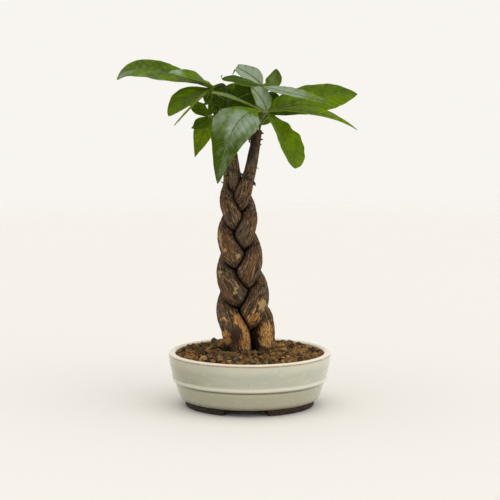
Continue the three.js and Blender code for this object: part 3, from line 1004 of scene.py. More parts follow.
@dataclass
class Soil:
    """The soil: a mound that fills the pot, under a layer of clay grains."""

    edge: float = 49.2
    crown: float = 56.4
    reach: float = 74.4
    rim: float = 82.5
    cleft: tuple[float, float] = (5.5, -12.0)
    cleft_size: tuple[float, float] = (8.0, 15.0)
    hollow_depth: float = 2.6
    proud: float = 5.0
    sizes: tuple[tuple[int, float, float], ...] = (
        (1500, 0.9, 1.7), (1000, 1.6, 2.6), (220, 2.6, 3.7),
    )
    seed: int = 4
    bed: Colour = srgb(40, 28, 18)
    palette: list[tuple[Colour, float]] = field(
        default_factory=lambda: [
            (srgb(154, 112, 60), 6), (srgb(136, 96, 48), 6), (srgb(108, 76, 38), 5),
            (srgb(184, 142, 88), 3), (srgb(150, 98, 50), 0.8), (srgb(72, 53, 33), 4),
            (srgb(32, 23, 16), 4), (srgb(120, 104, 80), 1), (srgb(84, 79, 76), 0.3),
        ]
    )

    def height(self, radius: float) -> float:
        """Returns the height of the bare mound at a radius, in millimetres."""
        share = min(radius / self.rim, 1.0)
        return self.edge + (self.crown - self.edge) * (1 - share**1.6)

    def mound(self) -> bpy.types.Object:
        """Turns the mound under the grains.

        Returns:
            The mound, with its surface roughened.
        """
        surface = [
            (self.reach * share / 24, self.height(self.reach * share / 24))
            for share in range(24, -1, -1)
        ]
        wall = [(0, 10.8), (61.5, 10.8), (66, 12.7), (69.5, 17.2), (72.6, 32), (74.1, 45)]
        mound = Bench.turned("soil_mound", [*wall, *surface], 96)
        points = []
        for spot in Bench.spots(mound):
            if spot.z > 46:
                spot.z += noise.noise(spot * 0.16) * 1.1
            points.append(spot)
        Bench.mould(mound, points)
        return mound

    def pebble(self) -> bpy.types.Object:
        """Makes the round grain that all the others are copies of."""
        Bench.clear()
        bpy.ops.mesh.primitive_cube_add(size=2 * MM, location=AXIS)
        grain = bpy.context.object
        bpy.ops.object.transform_apply()
        Bench.edit(grain)
        bpy.ops.mesh.subdivide(number_cuts=1)
        bpy.ops.transform.tosphere(value=0.8)
        Bench.clear()
        return grain

    def build(self, trunk: "Trunk") -> bpy.types.Object:
        """Covers the mound with grains and hands it over.

        Args:
            trunk: The stems that the grains keep clear of.

        Returns:
            The soil.
        """
        draw = random.Random(self.seed)
        mound = self.mound()
        pebble = self.pebble()
        ball = Bench.spots(pebble)
        faces = [tuple(face.vertices) for face in pebble.data.polygons]
        bpy.data.objects.remove(pebble)
        points, polygons, tints = [], [], []
        for radius, distance in self.scatter(draw):
            angle = draw.random() * TURN
            middle = Vector((distance * math.cos(angle), distance * math.sin(angle), 0))
            clear = trunk.clearance(middle.x, middle.y)
            if clear < radius * 0.35:
                continue
            hollow_and_shade = self.hollow_and_shade(middle, clear)
            sunk = 0.2 * smooth(2.4, 3.4, radius)
            middle.z = self.height(distance) - self.hollow_depth * hollow_and_shade
            middle.z += radius * (draw.uniform(0.1, 0.7) - sunk)
            middle.z = min(middle.z, self.height(distance) + self.proud - radius)
            start = len(points)
            points += self.grain(draw, ball, middle, radius)
            polygons += [tuple(start + corner for corner in face) for face in faces]
            tints += [self.tone(draw, hollow_and_shade)] * len(ball)
        mesh = bpy.data.meshes.new("grains")
        mesh.from_pydata([at(point) for point in points], [], polygons)
        grains = bpy.data.objects.new("grains", mesh)
        bpy.context.scene.collection.objects.link(grains)
        self.tint(mound, [self.bed] * len(mound.data.vertices))
        self.tint(grains, tints)
        soil = Bench.join("soil_gravel", [mound, grains])
        Bench.smoothed(soil, 55)
        Bench.hand_over(soil, Slot.SOIL, ["soil"], Gravel().material())
        return soil

    def hollow_and_shade(self, spot: Vector, clear: float) -> float:
        """Finds how deep the soil is hollowed, beside the stems and in the cleft at the front, and
        how much shade is painted on its grains there.

        Args:
            spot: The place.
            clear: Its distance from the nearest stem.

        Returns:
            The depth, from 0 to 1.
        """
        beside = smooth(7.5, 1.0, clear) if spot.y < 16 else 0.0
        across = (spot.x - self.cleft[0]) / self.cleft_size[0]
        back = (spot.y - self.cleft[1]) / self.cleft_size[1]
        return max(beside, smooth(1.2, 0.7, math.hypot(across, back)))

    @staticmethod
    def grain(
        draw: random.Random, ball: Sequence[Vector], middle: Vector, radius: float
    ) -> list[Vector]:
        """Shapes one grain.

        Args:
            draw: The seeded source of chance.
            ball: The points of a round grain of radius 1.
            middle: Where the grain lies.
            radius: Its size.

        Returns:
            Its points, turned, stretched and made uneven by chance.
        """
        turn = Euler(Vector((draw.random(), draw.random(), draw.random())) * TURN)
        stretch = (draw.uniform(0.8, 1.25), draw.uniform(0.75, 1.05), draw.uniform(0.6, 0.9))
        offset = Vector((draw.random(), draw.random(), draw.random())) * 90
        made = []
        for spot in ball:
            lump = 1 + 0.42 * noise.noise(spot * 1.1 + offset)
            grown = Vector(a * b for a, b in zip(spot * lump * radius, stretch))
            grown.rotate(turn)
            made.append(middle + grown)
        return made

    def tone(self, draw: random.Random, hollow_and_shade: float) -> Colour:
        """Draws a grain's colour from the palette, with painted shade darkening it in a hollow."""
        colours, weights = zip(*self.palette)
        colour = draw.choices(colours, weights)[0]
        # Painted shade: a grain deep in a hollow keeps only a quarter of its colour.
        shade = draw.uniform(0.6, 1.1) * mix(1, 0.25, hollow_and_shade)
        return (*(channel * shade for channel in colour[:3]), 1.0)

    @staticmethod
    def tint(one: bpy.types.Object, colours: Sequence[Colour]) -> None:
        """Stores a colour at each vertex."""
        layer = one.data.attributes.new("tint", "FLOAT_COLOR", "POINT")
        layer.data.foreach_set("color", [channel for colour in colours for channel in colour])

    def scatter(self, draw: random.Random) -> Iterable[tuple[float, float]]:
        """Chooses each grain's radius and its distance from the axis."""
        for count, smallest, largest in self.sizes:
            for _ in range(count):
                radius = draw.uniform(smallest, largest)
                limit = self.reach - radius * 0.9
                yield radius, limit * math.sqrt(draw.random())


# ---------------------------------------------------------------- stems and tie


@dataclass(frozen=True)
class Mark:
    """A place on the front of the trunk where the bark looks different.

    Its middle and half sizes are in millimetres, across and up, and its tilt is in degrees.
    """

    x: float
    z: float
    half_x: float
    half_z: float
    tilt: float = 0.0
    worn: float = 0.0
    bare: float = 0.0
    healed: float = 0.0
    # dark is painted shade.
    dark: float = 0.0

    def strength(self, spot: Vector) -> Vector:
        """Returns the strengths of worn, bare, healed and dark at a point on the bark."""
        turn = math.radians(self.tilt)
        x, z = spot.x - self.x, spot.z - self.z
        across = (x * math.cos(turn) + z * math.sin(turn)) / self.half_x
        up = (z * math.cos(turn) - x * math.sin(turn)) / self.half_z
        share = min(max(1.5 - math.hypot(across, up), 0.0), 1.0)
        return Vector((self.worn, self.bare, self.healed, self.dark)) * share


@dataclass(frozen=True)
class Spur:
    """A broken stub of a twig: where it stands, which way it points, and its size."""

    stem: str
    place: Point
    way: Point
    length: float
    radius: float


@dataclass(frozen=True)
class Stem:
    """One stem: its place in the braid and its stations below and above it."""

    name: str
    order: int
    foot: tuple[tuple[float, float, float, float], ...]
    top: tuple[tuple[float, float, float, float], ...]


@dataclass
class Trunk:
    """The braid of three stems."""

    bottom: float = 84.0
    summit: float = 226.0
    first_lobe: float = 213.0
    lobe_spacing: float = 38.6
    step: float = 7.0
    swing: float = 10.0
    swing_growth: float = 0.052
    depth_share: float = 1.1
    thin: float = 205.0
    radius: float = 8.4
    radius_growth: float = 0.039
    lean_foot: float = -1.0
    lean_top: float = -12.3
    soil_height: float = 60.0
    sides: int = 64
    ring_gap: float = 0.8
    touching: float = 0.015
    mark_shift: float = 2.6
    stems: tuple[Stem, ...] = (
        Stem(
            "left", 0,
            ((-9, -5, 26, 7), (-10, -6, 34, 11.5), (-11.5, -7, 46, 13.6), (-12.5, -8, 62, 14.2)),
            ((-21.5, 6, 240, 5.2), (-24, 6.5, 260, 4.2), (-27, 7.5, 284, 3.4)),
        ),
        Stem(
            "middle", 2,
            ((9, 2, 26, 7), (12, 2, 36, 10), (14, 1.5, 48, 11.4), (14, 2, 62, 11.8)),
            ((-15.2, -4, 239, 5.8), (-17, -3.5, 257, 4.4), (-20, -1, 279, 3.8)),
        ),
        Stem(
            "right", 1,
            ((-1, 16, 26, 7), (-1.5, 16.5, 36, 9.6), (-2, 16, 48, 10.8), (-3.5, 14, 64, 11)),
            ((0.2, -3, 238, 6.1), (4.4, -3, 259, 5.4), (7.6, -3, 280, 4.9)),
        ),
    )
    marks: tuple[Mark, ...] = (
        Mark(-29.6, 171, 2.2, 8, 6, worn=1.0),
        Mark(-24.6, 160, 2.2, 2.4, worn=0.8),
        Mark(-12, 154.5, 2.2, 2.8, worn=1.0),
        Mark(-11.5, 142.5, 2, 1.8, worn=1.0),
        Mark(-30, 135.5, 2.2, 4, worn=0.9),
        Mark(-14.8, 120, 1.5, 6, -18, worn=1.0),
        Mark(-8.3, 111.5, 1.2, 4.5, 28, worn=0.8),
        Mark(13.2, 106, 4.6, 6, worn=1.0),
        Mark(3.5, 94, 8.5, 7, bare=0.75),
        Mark(1.5, 88, 5, 5, bare=0.9),
        Mark(-2.8, 78, 6, 12, 14, bare=1.0),
        Mark(-9.5, 92, 4.5, 9, 32, bare=0.8),
        Mark(-4, 66, 7, 7, bare=1.0),
        Mark(-14.5, 75, 5.6, 8.5, healed=1.0),
        Mark(-23.5, 72, 4.6, 8, 8, bare=1.0),
        Mark(-24, 90, 5, 4, bare=0.65),
        Mark(-15, 88.5, 3.5, 2.5, bare=0.7),
        Mark(17, 77, 8, 9, bare=0.95),
        Mark(17.5, 66, 8, 7, bare=0.85),
        # The dark marks are painted shade: by the soil at the stems' feet and on the stem tops
        # under the leaves.
        Mark(-24.5, 59.5, 8, 4.5, -30, dark=1.0),
        Mark(6.5, 63, 4.2, 12, dark=1.0),
        Mark(1, 264, 7, 22, -13, dark=0.75),
    )
    spurs: tuple[Spur, ...] = (
        Spur("right", (7.5, -3, 164), (0.9, -0.1, 0.5), 3.4, 1.2),
        Spur("right", (8.5, -3, 158.5), (0.95, -0.1, -0.1), 2.8, 1.0),
        Spur("right", (5, -3, 242), (1, 0, -0.2), 4.2, 0.6),
        Spur("right", (10, -4, 277), (1, -0.1, -0.15), 4.2, 1.3),
        Spur("right", (9.5, -4, 270), (1, -0.1, 0.1), 4.0, 1.1),
        Spur("right", (8.5, -4, 264), (1, -0.1, 0.5), 3.8, 1.0),
        Spur("right", (2, -4, 267), (-1, -0.1, 0.45), 3.8, 1.0),
        Spur("left", (-26, 0, 226), (-1, -0.1, 0.6), 4.0, 0.6),
    )

    def __post_init__(self) -> None:
        """Draws each stem's centre line."""
        self.lines = {stem.name: spline(self.stations(stem), self.ring_gap) for stem in self.stems}
        self.trees = {name: self.tree(line) for name, line in self.lines.items()}

    @staticmethod
    def tree(line: Sequence[Vector]) -> KDTree:
        """Makes a finder of the nearest point of a line."""
        tree = KDTree(len(line))
        for index, point in enumerate(line):
            tree.insert(point.xyz, index)
        tree.balance()
        return tree

    def stations(self, stem: Stem) -> list[Sequence[float]]:
        """Returns a stem's stations from its foot to its top."""
        found: list[Sequence[float]] = list(stem.foot)
        height = self.bottom
        while height <= self.summit:
            found.append(self.braid(stem.order, height))
            height += self.step
        return [*found, *stem.top]

    def braid(self, order: int, height: float) -> Sequence[float]:
        """Finds a stem's place in the braid.

        Args:
            order: The stem's order, 0 to 2.
            height: The height, in millimetres.

        Returns:
            Its centre and radius there.
        """
        below = self.thin - height
        from_lobe = self.first_lobe - order * self.lobe_spacing - height
        phase = TURN * from_lobe / (3 * self.lobe_spacing) - math.pi / 2
        swing = self.swing + self.swing_growth * below
        fall = (self.summit - height) / (self.summit - self.soil_height)
        lean = self.lean_top + (self.lean_foot - self.lean_top) * fall**2
        return (
            lean + swing * math.sin(phase),
            self.depth_share * swing * math.sin(2 * phase),
            height,
            self.radius + self.radius_growth * below,
        )

    def clearance(self, x: float, y: float) -> float:
        """Returns how far a point of the soil's surface is from the nearest stem."""
        gaps = []
        for name, tree in self.trees.items():
            spot, index, _ = tree.find((x, y, 55))
            gap = math.hypot(x - spot.x, y - spot.y)
            gaps.append(gap - self.lines[name][index].w)
        return min(gaps)

    def room(self, name: str, spot: Vector, part: float) -> float:
        """Finds how much room a point of a stem has before it meets another stem.

        Args:
            name: The stem.
            spot: The point.
            part: How far out it is, as a share of the stem's radius.

        Returns:
            The room, as a share of a radius.
        """
        found = []
        for other, tree in self.trees.items():
            if other != name:
                _, index, gap = tree.find(spot)
                found.append(gap / self.lines[other][index].w - part)
        return min(found)

    def pressed(
        self, name: str, centre: Vector, out: Vector, radius: float
    ) -> tuple[float, float]:
        """Finds how far a stem reaches before it meets its neighbours.

        Args:
            name: The stem.
            centre: A point on its centre line.
            out: The direction outwards.
            radius: Its radius there.

        Returns:
            The reach, at most the radius, and the room that a full radius would have.
        """
        room = self.room(name, centre + out * radius, 1.0)
        if room >= self.touching:
            return radius, room
        low, high = 0.2, 1.0
        for _ in range(9):
            middle = (low + high) / 2
            room_there = self.room(name, centre + out * radius * middle, middle)
            low, high = (middle, high) if room_there >= self.touching else (low, middle)
        return radius * low, room

    def marking(self, spot: Vector, front: bool) -> Vector:
        """Finds how strongly each kind of mark shows.

        Args:
            spot: A point on the bark.
            front: Whether it faces the front.

        Returns:
            The strengths of worn, bare, healed and dark.
        """
        shift = Vector((noise.noise(spot * 0.28), 0, noise.noise(spot * 0.28 + Vector((7, 7, 7)))))
        total = Vector((0, 0, 0, 0))
        for mark in self.marks if front else ():
            total = Vector(map(max, total, mark.strength(spot + shift * self.mark_shift)))
        if not front:
            total.y = smooth(100, 66, spot.z) * smooth(0.1, 0.5, noise.noise(spot * 0.07))
            total.x = smooth(0.35, 0.6, noise.noise(spot * 0.05 + Vector((9, 9, 9))))
        return total

    def build(self) -> list[bpy.types.Object]:
        """Builds the stems and hands them over.

        Returns:
            The stems.
        """
        bark = Bark().material()
        return [self.grow(stem, bark) for stem in self.stems]

    def grow(self, stem: Stem, bark: bpy.types.Material) -> bpy.types.Object:
        """Builds one stem.

        Args:
            stem: Which stem.
            bark: Its material.

        Returns:
            The stem.
        """
        line = self.lines[stem.name]
        name = f"stem_{stem.name}_bark"
        shape = Bench.tube(name, line, [point.w for point in line], self.sides)
        spots = Bench.spots(shape)
        points, grains, marks, seams = [], [], [], []
        shift = Vector((31, 17, 5)) * (stem.order + 1)
        for index, spot in enumerate(spots):
            centre = line[index // self.sides]
            along = index // self.sides * self.ring_gap
            angle = TURN * (index % self.sides) / self.sides
            out = (spot - centre.xyz).normalized()
            reach, room = self.pressed(stem.name, centre.xyz, out, centre.w)
            held = reach < centre.w * 0.995
            grain = Vector((math.cos(angle) * centre.w, math.sin(angle) * centre.w, along * 0.34))
            grain += shift
            mark = self.marking(centre.xyz + out * reach, out.y < 0.1)
            lump = noise.noise(spot * 0.07) * 0.8 + noise.noise(spot * 0.2) * 0.35
            depth = (0.0 if held else lump) - self.cut(grain, mark, room)
            points.append(centre.xyz + out * (reach + depth * centre.w / 12))
            grains.append(grain)
            marks.append(mark.xyz)
            # The seams note holds painted shade: black where the stems touch, darker near them, and
            # the dark marks.
            seams.append((smooth(0.1, -0.02, room), smooth(0.6, 0.0, room), mark.w))
        Bench.mould(shape, points)
        Bench.note(shape, "grain", grains)
        Bench.note(shape, "marks", marks)
        Bench.note(shape, "seams", seams)
        stubs = [self.stub(spur) for spur in self.spurs if spur.stem == stem.name]
        shape = Bench.join(name, [shape, *stubs])
        Bench.edit(shape)
        bpy.ops.mesh.normals_make_consistent(inside=False)
        Bench.smoothed(shape, 50)
        Bench.hand_over(shape, Slot.BARK, [f"stem_{stem.name}"], bark)
        return shape

    @staticmethod
    def cut(grain: Vector, mark: Vector, room: float) -> float:
        """Finds how deep the bark is furrowed, flaked or worn away.

        Args:
            grain: The place in the bark's own frame.
            mark: The strengths of worn, bare, healed and dark.
            room: The room before the next stem, as a share of a radius.

        Returns:
            The depth, in millimetres on a stem of 12 mm radius.
        """
        seam = smooth(0.17, 0.04, room) * smooth(-0.1, 0.03, room)
        furrow = noise.ridged_multi_fractal(grain * 0.35, 0.9, 2.1, 4, 1.0, 2.0)
        flakes = noise.noise(grain * 0.9) * (0.3 + 0.5 * mark.y)
        cut = 0.3 * smooth(1.0, 2.2, furrow) * (1 - mark.z) + 0.4 * mark.y - 0.3 * mark.z
        return cut + (0.5 * seam - flakes * (1 - mark.z))

    def stub(self, spur: Spur) -> bpy.types.Object:
        """Makes a broken stub that stands on a stem."""
        way = Vector(spur.way).normalized()
        line = [Vector(spur.place) + way * spur.length * share / 6 for share in range(7)]
        radii = [spur.radius * mix(1.15, 0.3, (share / 6) ** 1.6) for share in range(7)]
        for index, point in enumerate(line):
            point.z += 0.3 * math.sin(index * 1.9)
        stub = Bench.tube("stub", line, radii, 10)
        spots = Bench.spots(stub)
        Bench.note(stub, "grain", [spot * 1.5 for spot in spots])
        Bench.note(stub, "marks", [(0, 0, 0)] * len(spots))
        Bench.note(stub, "seams", [(0, 0.7, 0)] * len(spots))
        return stub


@dataclass
class Tie:
    """The wire wound taut round the three stem tops."""

    bend: Point = (-9, 0, 238.6)
    slopes: tuple[float, float] = (-0.15, -0.95)
    radius: float = 0.45
    turns: int = 2
    rise: float = 1.2
    per_turn: int = 60

    def build(self, trunk: Trunk) -> bpy.types.Object:
        """Winds the wire and hands it over.

        Args:
            trunk: The stems that it holds.

        Returns:
            The wire.
        """
        path = []
        for index in range(self.turns * self.per_turn + 1):
            turn = index / self.per_turn
            angle = TURN * turn + math.pi / 2
            out = Vector((math.cos(angle), math.sin(angle)))
            spot = max(
                (self.touch(point, out) for line in trunk.lines.values() for point in line),
                key=lambda found: found @ out,
            )
            spot += out * (self.radius + 0.1)
            twist = 0.5 * math.sin(angle * 3) + self.rise * (turn - 1)
            path.append((spot.x, spot.y, self.height(spot.x) + twist))
        wire = Bench.tube("tie_wire_coated", path, [self.radius] * len(path), 10)
        Bench.smoothed(wire, 60)
        Bench.hand_over(wire, Slot.WIRE, ["tie_wire"], Wire().material())
        return wire

    def touch(self, point: Vector, out: Vector) -> Vector:
        """Finds where a ball of a stem reaches furthest out at the tie's height.

        Args:
            point: The ball's centre and radius.
            out: The direction.

        Returns:
            The place in plan, or the ball's centre where it does not reach that height.
        """
        off = point.z - self.height(point.x)
        if abs(off) >= point.w:
            return point.xy - out * 50
        return point.xy + out * math.sqrt(point.w**2 - off**2)

    def height(self, x: float) -> float:
        """Returns the height of the tie at a place across."""
        away = x - self.bend[0]
        return self.bend[2] + (self.slopes[0] if away < 0 else self.slopes[1]) * away


# ---------------------------------------------------------------- leaves


@dataclass(frozen=True)
class Leaflet:
    """A leaflet: two points on its midrib, the way it faces, and its outline."""

    mid: Point
    tip: Point
    face: Point
    width: float
    widest: float
    fold: float = 9.0
    droop: float = 0.0
    base: float = 1.2
    point: float = 0.7
    wave: float = 0.5
    # painted sheen at the base, the middle and the tip
    painted_sheen: Point = (0.0, 0.0, 0.0)
    lean: float = 0.0
    gloss: float = 0.05
    # painted shade from base to tip, for leaflets inside the crown
    shade: tuple[float, float] = (0.0, 0.0)
    veins: float = 0.3
    curl: float = 0.0
    scallop: float = 0.07


@dataclass(frozen=True)
class Leaf:
    """A leaf: its stalk from the stem to its hub, and its leaflets."""

    name: str
    stalk: tuple[Point, ...]
    leaflets: tuple[Leaflet, ...]
    stalk_shade: float = 0.0
    twigs: tuple[tuple[Point, ...], ...] = ()


LEAVES = (
    Leaf(
        "front_right",
        ((7, -1, 268), (6.6, 3.4, 279), (10, 0, 287), (17, -4, 298)),
        (
            Leaflet(
                (-13, -36, 287), (-31.5, -50, 229.5), (-0.4, -0.8, 0.4), 51, 0.5, 7, base=3.2,
                point=0.85, painted_sheen=(0.12, 0.72, 0.42), lean=0.1, gloss=0.08, shade=(0.0, 1.0),
                veins=0.5,
            ),
            Leaflet(
                (34.5, -14, 272), (45.5, -22, 242.5), (0.66, -0.62, 0.4), 35, 0.64, 20, base=0.6,
                point=0.42, gloss=0.2, veins=0.9, scallop=0.16,
            ),
            Leaflet(
                (60, -20, 299), (106, -30, 284.5), (0.1, -0.25, 0.97), 25, 0.5, 6, 3, point=1.1,
                gloss=0.6, shade=(-0.5, 0.0),
            ),
            Leaflet(
                (64, 12, 310.5), (109.5, 26, 316), (-0.1, -0.7, 0.7), 40, 0.5, 2, 1, base=0.45,
                point=0.8, gloss=0.5, shade=(0.25, 0.25),
            ),
            Leaflet(
                (12, -3, 311), (1, -9, 323), (0.35, -0.8, 0.45), 21, 0.5, 10, base=1, point=0.6,
                painted_sheen=(0.75, 0.75, 0.7), gloss=0.5,
            ),
            Leaflet(
                (-11.5, -16, 310.5), (-38, -22, 318), (0, -0.3, 0.95), 13, 0.72, 10, point=0.6,
                painted_sheen=(0.4, 0.55, 0.6), gloss=0.3,
            ),
        ),
    ),
    Leaf(
        "top",
        ((6, 3, 262), (5.5, 8, 276), (8.5, 9, 284), (13, 10, 295), (13, 4, 323)),
        (
            Leaflet(
                (1, 12, 334), (-17.5, 18, 343.5), (-0.2, -0.55, 0.8), 20, 0.49, 10, point=0.5,
                painted_sheen=(0.86, 0.86, 0.86), gloss=0.6, curl=8.0,
            ),
            Leaflet(
                (23.5, 12, 326.5), (26.5, 16, 340.5), (-0.3, -0.75, 0.45), 18, 0.55, 10, base=1,
                painted_sheen=(0.46, 0.46, 0.46), gloss=0.4, shade=(0.4, 0.4),
            ),
            Leaflet(
                (47, -20, 315.5), (82, -38, 308), (0.1, -0.4, 0.9), 21, 0.4, 10, 2,
                painted_sheen=(0.9, 0.72, 0.42), gloss=0.5,
            ),
            Leaflet(
                (-8.5, -6, 330.5), (-27.5, -12, 330.5), (0, -0.34, 0.94), 29, 0.5, -5, gloss=0.0,
                shade=(1, 1),
            ),
            Leaflet(
                (-2.5, 9, 315), (-22, 12, 308), (0.1, -0.95, 0.25), 27, 0.5, 8, base=0.8,
                shade=(0.9, 0.9),
            ),
            Leaflet((14.5, 34, 325), (13, 66, 316), (0, 0.3, 0.95), 27, 0.5, 10, 4),
        ),
        twigs=(((-25.6, -11, 330), (-27.4, -11.5, 331.6), (-28.4, -12, 333.8), (-27, -12, 334.6)),),
    ),
    Leaf(
        "left",
        ((-20, -1, 270), (-21.5, 2, 290), (-22, 2, 314), (-26.5, 1, 325), (-38, 0, 322)),
        (
            Leaflet(
                (-87, 4, 337), (-133.5, 8, 344.5), (0, -0.47, 0.88), 37, 0.62, 6, 13, point=0.32,
                painted_sheen=(0.34, 0.36, 0.4), lean=0.4, gloss=1, shade=(0.25, 0.25),
            ),
            Leaflet(
                (-56, -16, 332), (-80, -26, 337), (0, -0.42, 0.9), 28, 0.34, 15, base=0.8,
                point=0.6, painted_sheen=(0.0, 0.0, 0.7), gloss=0.4, shade=(0.35, 0.35),
            ),
            Leaflet(
                (-60, -12, 313), (-80.5, -22, 295.5), (-0.4, -0.55, 0.75), 35, 0.56, 10, 1,
                gloss=0.4, shade=(0.0, 0.45), veins=0.5,
            ),
            Leaflet((-55.5, -26, 306.5), (-74, -44, 286.5), (-0.75, -0.05, 0.66), 13, 0.5, 6),
            Leaflet(
                (-30, 17, 312.5), (-14, 22, 305), (-0.1, -0.9, 0.3), 25, 0.5, 8, shade=(0.9, 0.9),
            ),
            Leaflet((-58.5, 30, 328), (-81.5, 58, 330.5), (-0.1, 0.3, 0.95), 28, 0.5, 9, 3),
            Leaflet(
                (-41.5, 3, 315), (-44.5, 5, 306.5), (-0.2, -0.9, 0.4), 11, 0.5, 8, base=0.9,
                shade=(0.3, 0.9),
            ),
        ),
        # painted shade: this stalk runs through the crown's shadow
        stalk_shade=0.9,
    ),
    Leaf(
        "low_left",
        ((-26.6, 7.4, 275), (-28, 6, 288), (-33, 3, 292.5), (-40, 0, 293)),
        (
            Leaflet((-50, 8, 299), (-59.5, 14, 304), (0.1, -0.75, 0.6), 14, 0.5, 8, base=0.9),
            Leaflet(
                (-47, 2, 275.5), (-55.5, 4, 252), (-0.3, -0.85, 0.35), 22, 0.4, 12, base=1,
                point=1,
            ),
            Leaflet(
                (-48.5, -8, 285), (-58, -14, 282.5), (-0.2, -0.75, 0.5), 17, 0.42, 12, base=0.9,
                point=1, shade=(0.4, 0.4),
            ),
            Leaflet((-46.5, 24, 284.5), (-52.5, 44, 265), (-0.1, 0.4, 0.9), 20, 0.5, 9, 1),
            Leaflet((-56.5, 22, 304), (-67.5, 40, 308.5), (-0.1, 0.1, 0.98), 20, 0.5, 9, 1),
            Leaflet(
                (-36.5, 6, 302.5), (-33.5, 8, 290.5), (0.2, -0.9, 0.3), 11, 0.5, 8, base=0.9,
                shade=(0.5, 0.8),
            ),
        ),
        twigs=(
            ((-33.3, 3, 292.5), (-33.5, 2, 301), (-36.2, 8, 309)),
            ((-32.5, 3, 292.5), (-29.5, 0, 302), (-35, 8, 308.5)),
        ),
    ),
    Leaf(
        "back_right",
        (
            (6.5, 1, 254), (8.5, 7, 264), (9.5, 12, 276), (11, 14.5, 284), (18, 19.5, 292),
            (28, 26, 304),
        ),
        (
            Leaflet(
                (54, 50, 309), (82.5, 68, 303.5), (0.1, 0.3, 0.95), 30, 0.5, 9, 3,
                shade=(0.5, 0.5),
            ),
            Leaflet(
                (41.5, 54, 309), (53, 82, 299.5), (0, 0.3, 0.95), 32, 0.5, 9, 4, shade=(0.5, 0.5),
            ),
            Leaflet(
                (23.5, 28, 310), (18.5, 32, 316.5), (0, -0.9, 0.4), 14, 0.5, 9, base=0.9,
                point=0.6, shade=(0.9, 0.9),
            ),
            Leaflet(
                (14.5, 18, 293), (-2.5, 14, 301), (0.1, -0.9, -0.3), 19, 0.5, 8, shade=(0.2, 0.2),
            ),
        ),
    ),
    Leaf(
        "back",
        ((-23.5, 6.5, 257), (-22, 14, 270), (-17, 22, 290), (-14, 28, 306)),
        (
            Leaflet(
                (-22.5, 54, 310), (-29, 84, 297.5), (-0.05, 0.3, 0.95), 33, 0.5, 9, 5,
                shade=(0.8, 0.8),
            ),
            Leaflet(
                (0.5, 54, 311), (11, 82, 298.5), (0.1, 0.3, 0.95), 24, 0.5, 9, 3,
                shade=(0.8, 0.8),
            ),
            Leaflet(
                (-31.5, 42, 307.5), (-48.5, 56, 303.5), (0, -0.6, 0.8), 18, 0.5, 9, shade=(1, 1),
            ),
            Leaflet((-15.5, 36, 318), (-17, 44, 325.5), (0, -0.7, 0.7), 24, 0.5, 9, shade=(1, 1)),
            Leaflet((-7, 24, 288.5), (0.5, 20, 267.5), (0.4, 0.8, 0.3), 18, 0.5, 9),
            Leaflet(
                (-4, 28, 305), (7.5, 26, 299), (0, -0.9, 0.4), 12, 0.5, 8, base=0.9, shade=(1, 1),
            ),
            Leaflet(
                (-20, 30, 304), (-26.5, 30, 297.5), (0, -0.9, 0.4), 12, 0.5, 8, base=0.9,
                shade=(1, 1),
            ),
        ),
    ),
)


